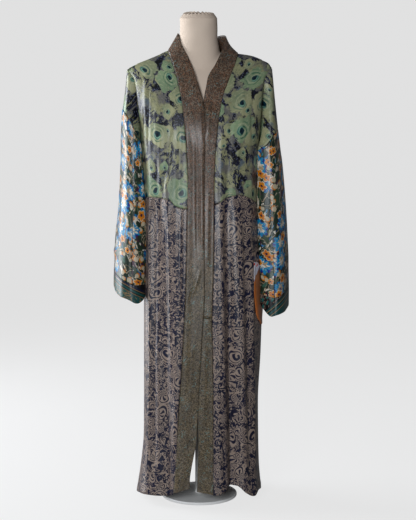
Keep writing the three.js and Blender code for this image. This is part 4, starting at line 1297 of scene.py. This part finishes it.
class KIMONO_OT_sleeves(bpy.types.Operator):
    """Builds both sleeves with their cuffs"""

    bl_idname = "kimono.sleeves"
    bl_label = "Build Sleeves and Cuffs"

    def execute(self, context):
        opts = context.scene.kimono
        for side, name in ((-1, "right"), (1, "left")):
            for label, low, top, rows, slot in (
                ("sleeve_", CUFF_SEAM[side], ARM_SEAM[side], 150, "sleeve"),
                ("cuff_", CUFF_END[side], CUFF_SEAM[side], 18, "cuff"),
            ):
                bm = bmesh.new()

                def at(u, v, low=low, top=top, slot=slot):
                    phi = u * 2 * math.pi
                    w0, w1 = around(low, phi) + SEAM / 2, around(top, phi) - SEAM / 2
                    if slot == "cuff":
                        w0 += corner(side, phi)
                    w = lerp(w0, w1, v)
                    lift = tuck(w1 - w, 3, 0.7) + tuck(w - w0, 2.5, 0.5 if slot == "sleeve" else 0.0)
                    lift += 0.5 * math.sin(phi * 40) * math.exp(-(((w1 - w) / 9) ** 2))
                    return sleeve(side, phi, w, lift)

                def place(a, b, wa, wb, p, side=side, slot=slot):
                    if slot == "sleeve":
                        return a + (0 if side < 0 else 1100), b
                    # the border's lines run level with a tilted plane
                    x0, z0, tilt = BORDER[side]
                    return a, (p.z - z0) * math.cos(tilt) + (p.x - x0) * math.sin(tilt)

                grid(
                    bm, at, 132, rows, ring=True, flip=side > 0, cut=place,
                    edge=lambda u, v, a, b, wa, wb: min(wb - b, b),
                    keep=lambda p: in_body(p) > 0.97 if p.z > 960 else True,
                )
                look = "sleeve" if slot == "sleeve" else label + name
                finish_mesh(label + name + "_cloth", bm, material(look),
                            [label + name], opts.cloth)
        return {"FINISHED"}


class KIMONO_OT_bands(bpy.types.Operator):
    """Builds the doubled neck band: the right one, and the left one in two lengths"""

    bl_idname = "kimono.bands"
    bl_label = "Build Bands"

    def execute(self, context):
        opts = context.scene.kimono
        splice = SPLICE_ROW / (len(BAND_L) - 1)
        for side, name, v0, v1, rows in (
            (-1, "band_right", 0, 1, 420),
            (1, "band_left", 0, splice - 0.0001, 280),
            (1, "band_left_lower", splice + 0.0001, 1, 170),
        ):
            table = band_rows(side)

            def at(u, v, side=side, v0=v0, v1=v1, table=table):
                g = lerp(v0, v1, v)
                p = band_at(side, table, u, g)
                # the free edge waves a little
                q = 1.1 * math.sin(g * 37 + 2 * side + u * 2) * math.sin(g * 11 + side)
                p.y -= q * smooth(0.3, 0.45, g) * (1 - math.cos(u * math.pi)) / 2
                if g > 0.2:
                    p.y -= creases(BAND_CREASES, p.x, p.z)
                # puckers at the joint
                if side > 0:
                    p.y -= 0.9 * math.sin(u * 9) * math.exp(-(((g - splice) / 0.012) ** 2))
                return p

            bm = bmesh.new()
            grid(
                bm, at, 16, rows, flip=side < 0,
                cut=lambda a, b, wa, wb, p, v0=v0: (
                    a + (0 if side < 0 else 300), b + (1000 if v0 > 0 else 0)
                ),
                edge=lambda u, v, a, b, wa, wb: min(a, wa - a),
            )
            finish_mesh(name + "_cloth", bm, material("band"), [name], opts.band)
        return {"FINISHED"}


class KIMONO_OT_pocket(bpy.types.Operator):
    """Builds the facing of the pocket in the left side seam"""

    bl_idname = "kimono.pocket"
    bl_label = "Build Pocket Facing"

    def execute(self, context):
        def at(u, v):
            h = lerp(POCKET_FOOT, lerp(POCKET_TOP, POCKET_TOP_SIDE, smooth(0.1, 1, u)), v)
            a = math.radians(lerp(read(POCKET, h, 1), 89.4, u))
            return body(a, h, 2.1 + 0.5 * math.sin(h / 9 + u * 3))

        bm = bmesh.new()
        grid(bm, at, 24, 70, edge=lambda u, v, a, b, wa, wb: min(a, b, wb - b))
        finish_mesh("pocket_facing_cloth", bm, material("pocket"), ["pocket_facing"],
                    context.scene.kimono.cloth)
        return {"FINISHED"}


class KIMONO_OT_form(bpy.types.Operator):
    """Builds the torso and the neck of the form, in jersey"""

    bl_idname = "kimono.form"
    bl_label = "Build Form"

    def execute(self, context):
        bm = bmesh.new()
        grid(bm, self.torso, 96, 96, ring=True)
        grid(bm, self.neck_base, 72, 40, ring=True)
        bmesh.ops.recalc_face_normals(bm, faces=bm.faces)
        torso = finish_mesh("form_torso_cover", bm, material("form"), ["form_torso"])
        join = torso.modifiers.new("Join", "REMESH")
        join.mode, join.voxel_size, join.use_smooth_shade = "VOXEL", FORM_VOXEL, True
        relax = torso.modifiers.new("Relax", "SMOOTH")
        relax.factor, relax.iterations = 0.5, 14
        bm = bmesh.new()
        grid(bm, self.gathered, 288, 100, ring=True)
        bmesh.ops.recalc_face_normals(bm, faces=bm.faces)
        finish_mesh("form_neck_cover", bm, material("form"), ["form_neck"])
        return {"FINISHED"}

    def torso(self, u, v):
        """u runs round the torso, v from the middle of its foot to its shoulders."""
        th = u * 2 * math.pi
        share = smooth(0, 0.06, v)
        h = lerp(615, CAP_TOP, 1 - (1 - clamp((v - 0.06) / 0.94)) ** 1.3)
        s, c = math.sin(th), math.cos(th)
        rr = plan(s, c) * share
        x = read(FORM, h, 1) * rr * s
        k = clamp((h - CAP_FOOT) / (CAP_TOP - CAP_FOOT))
        p = CAP_FRONT if c >= 0 else CAP_BACK
        y = read(FORM, h, 2 if c >= 0 else 3) * (1 - k**p) ** (1 / p) * rr * c
        z = h if h <= CAP_FOOT else CAP_FOOT + k * (read(RIDGE, x, 1) - FORM_TOP_IN - CAP_FOOT)
        return Vector((x, -y, z))

    def neck_base(self, u, v):
        """The torso's own neck, which goes up into the neck's cover."""
        th = u * 2 * math.pi
        share = smooth(0, 0.05, v) * smooth(1, 0.95, v)
        z = lerp(NECK_BASE[0][0], NECK_BASE[-1][0], clamp((v - 0.05) / 0.9))
        a, b = read(NECK_BASE, z, 1) * share, read(NECK_BASE, z, 2) * share
        return Vector((NECK_MID[0] + a * math.sin(th), NECK_MID[1] - b * math.cos(th), z))

    def gathered(self, u, v):
        """The cover drawn in over the top: pleats run to a sunken middle."""
        th = u * 2 * math.pi
        share, z = read(NECK_PROFILE, 100 * v, 1) / 100, read(NECK_PROFILE, 100 * v, 2)
        # the drawn-in cover falls in ruffles on the flat top
        frill = smooth(0.66, 0.76, v) * smooth(0.99, 0.9, v)
        z += 2.2 * frill * math.sin(th * 22 + 1.2 * math.sin(th * 3) + 9 * v)
        z += 1.2 * smooth(0.6, 0.7, v) * smooth(1, 0.9, v) * math.sin(th * 2 + 1)
        uneven = 0.006 * math.sin(3 * th + z / 14) + 0.004 * math.sin(5 * th - z / 9)
        uneven += 0.012 * frill * math.sin(th * 31 + 2 * math.sin(th * 5))
        share *= 1 + uneven
        # the top tips forward, and the hem of the cover sags in front
        z -= 15 * smooth(0.46, 0.62, v) * (0.5 + 0.5 * math.cos(th) * min(1, share))
        z -= 6 * smooth(0.12, 0.02, v) * max(0.0, math.cos(th))
        x, y = NECK_SIZE[0] * share * math.sin(th), NECK_SIZE[1] * share * math.cos(th)
        return Vector((NECK_MID[0] + x, NECK_MID[1] - y, z))


class KIMONO_OT_stand(bpy.types.Operator):
    """Builds the pole and the round base plate"""

    bl_idname = "kimono.stand"
    bl_label = "Build Stand"

    def execute(self, context):
        for name, radius, foot, top, rim in (
            ("stand_pole", POLE_R, BASE_H + 0.2, POLE_TOP, 0.5),
            ("stand_base", BASE_R, 0.0, BASE_H, 2.0),
        ):
            bm = bmesh.new()
            bmesh.ops.create_cone(
                bm, cap_ends=True, segments=96, depth=(top - foot) * MM,
                radius1=radius * MM, radius2=radius * MM,
            )
            bmesh.ops.translate(bm, verts=bm.verts, vec=(0, 0, (foot + top) / 2 * MM))
            rims = [e for e in bm.edges if abs(e.verts[0].co.z - e.verts[1].co.z) < 1e-6]
            bmesh.ops.bevel(
                bm, geom=rims, offset=rim * MM, offset_type="OFFSET", segments=3,
                profile=0.5, affect="EDGES", material=-1,
            )
            for f in bm.faces:
                f.smooth = len(f.verts) == 4
            finish_mesh(name + "_painted", bm, material("stand"), [name])
        return {"FINISHED"}


class KIMONO_OT_stage(bpy.types.Operator):
    """Sets the pale floor and backdrop, the studio lights and the camera"""

    bl_idname = "kimono.stage"
    bl_label = "Set Stage"

    def execute(self, context):
        scene = context.scene
        scene.view_settings.view_transform = "Standard"
        self.backdrop(scene)
        self.lights(scene)
        self.camera(scene)
        return {"FINISHED"}

    def backdrop(self, scene):
        """A floor that curves up into a wall, as one sheet."""
        bm = bmesh.new()
        bmesh.ops.create_grid(bm, x_segments=2, y_segments=60, size=0.5)
        for vert in bm.verts:
            t = vert.co.y + 0.5
            y, z = lerp(FLOOR_NEAR, FLOOR_FAR, t / 0.5), 0.0
            if t >= 0.5:
                a = clamp((t - 0.5) / 0.2) * HALF
                y, z = FLOOR_FAR + CURVE * math.sin(a), CURVE - CURVE * math.cos(a)
                z += WALL * max(0.0, (t - 0.7) / 0.3)
            vert.co = (vert.co.x * FLOOR_WIDTH, y, z - 0.0004)
        for f in bm.faces:
            f.smooth = True
        mesh = bpy.data.meshes.new("Backdrop")
        bm.to_mesh(mesh)
        bm.free()
        floor = bpy.data.objects.new("Backdrop", mesh)
        scene.collection.objects.link(floor)
        mat, n, shader = new_material("Backdrop")
        place = n.add("ShaderNodeTexCoord").outputs["Object"]
        n.put(shader.inputs["Base Color"], n.mix(n.noise(place, 2, 2), "6A6A6A", "6E6E6E"))
        for label, value in (
            ("Roughness", 0.95), ("Specular IOR Level", 0.0),
            ("Emission Color", (1.0, 1.0, 1.0, 1.0)), ("Emission Strength", BACKDROP_GLOW),
        ):
            shader.inputs[label].default_value = value
        mesh.materials.append(mat)
        # the lit backdrop shows behind the cloth without lighting it
        floor.visible_diffuse = False
        floor.visible_glossy = False

    def lights(self, scene):
        world = bpy.data.worlds.new("Studio")
        scene.world = world
        world.use_nodes = True
        sky = world.node_tree.nodes["Background"]
        sky.inputs["Color"].default_value = (0.97, 0.98, 1.0, 1.0)
        sky.inputs["Strength"].default_value = SKY_GLOW
        for name, place, aim, wide, high, power in LAMPS:
            data = bpy.data.lights.new(name, "AREA")
            data.shape, data.size, data.size_y, data.energy = "RECTANGLE", wide, high, power
            data.color = LAMP_COLOR
            lamp = bpy.data.objects.new(name, data)
            lamp.location = place
            turn = (Vector(aim) - Vector(place)).to_track_quat("-Z", "Y")
            lamp.rotation_euler = turn.to_euler()
            scene.collection.objects.link(lamp)

    def camera(self, scene):
        """Eye level above the waist, tipped down a little, for a full-length view."""
        data = bpy.data.cameras.new("Camera")
        data.lens, data.sensor_width = CAMERA_LENS, 36.0
        cam = bpy.data.objects.new("Camera", data)
        rise = CAMERA_REACH * math.tan(CAMERA_PITCH)
        cam.location = (CAMERA_AIM[0], -CAMERA_REACH, CAMERA_AIM[1] + rise)
        cam.rotation_euler = (HALF - CAMERA_PITCH, 0, 0)
        scene.collection.objects.link(cam)
        scene.camera = cam


class KIMONO_PT_panel(bpy.types.Panel):
    bl_label = "Kimono"
    bl_idname = "KIMONO_PT_panel"
    bl_space_type = "VIEW_3D"
    bl_region_type = "UI"
    bl_category = "Kimono"

    def draw(self, context):
        layout = self.layout
        for name in KimonoSettings.__annotations__:
            layout.prop(context.scene.kimono, name)
        for op in OPERATORS:
            layout.operator(op.bl_idname)


OPERATORS = (
    KIMONO_OT_form, KIMONO_OT_stand, KIMONO_OT_bodice, KIMONO_OT_skirt,
    KIMONO_OT_sleeves, KIMONO_OT_bands, KIMONO_OT_pocket, KIMONO_OT_stage,
)
CLASSES = (KimonoSettings, *OPERATORS, KIMONO_PT_panel)


def register():
    for cls in CLASSES:
        bpy.utils.register_class(cls)
    bpy.types.Scene.kimono = PointerProperty(type=KimonoSettings)


def unregister():
    del bpy.types.Scene.kimono
    for cls in reversed(CLASSES):
        bpy.utils.unregister_class(cls)


def main():
    register()
    bpy.ops.kimono.form()
    bpy.ops.kimono.stand()
    bpy.ops.kimono.bodice()
    bpy.ops.kimono.skirt()
    bpy.ops.kimono.sleeves()
    bpy.ops.kimono.bands()
    bpy.ops.kimono.pocket()
    bpy.ops.kimono.stage()


if __name__ == "__main__":
    main()
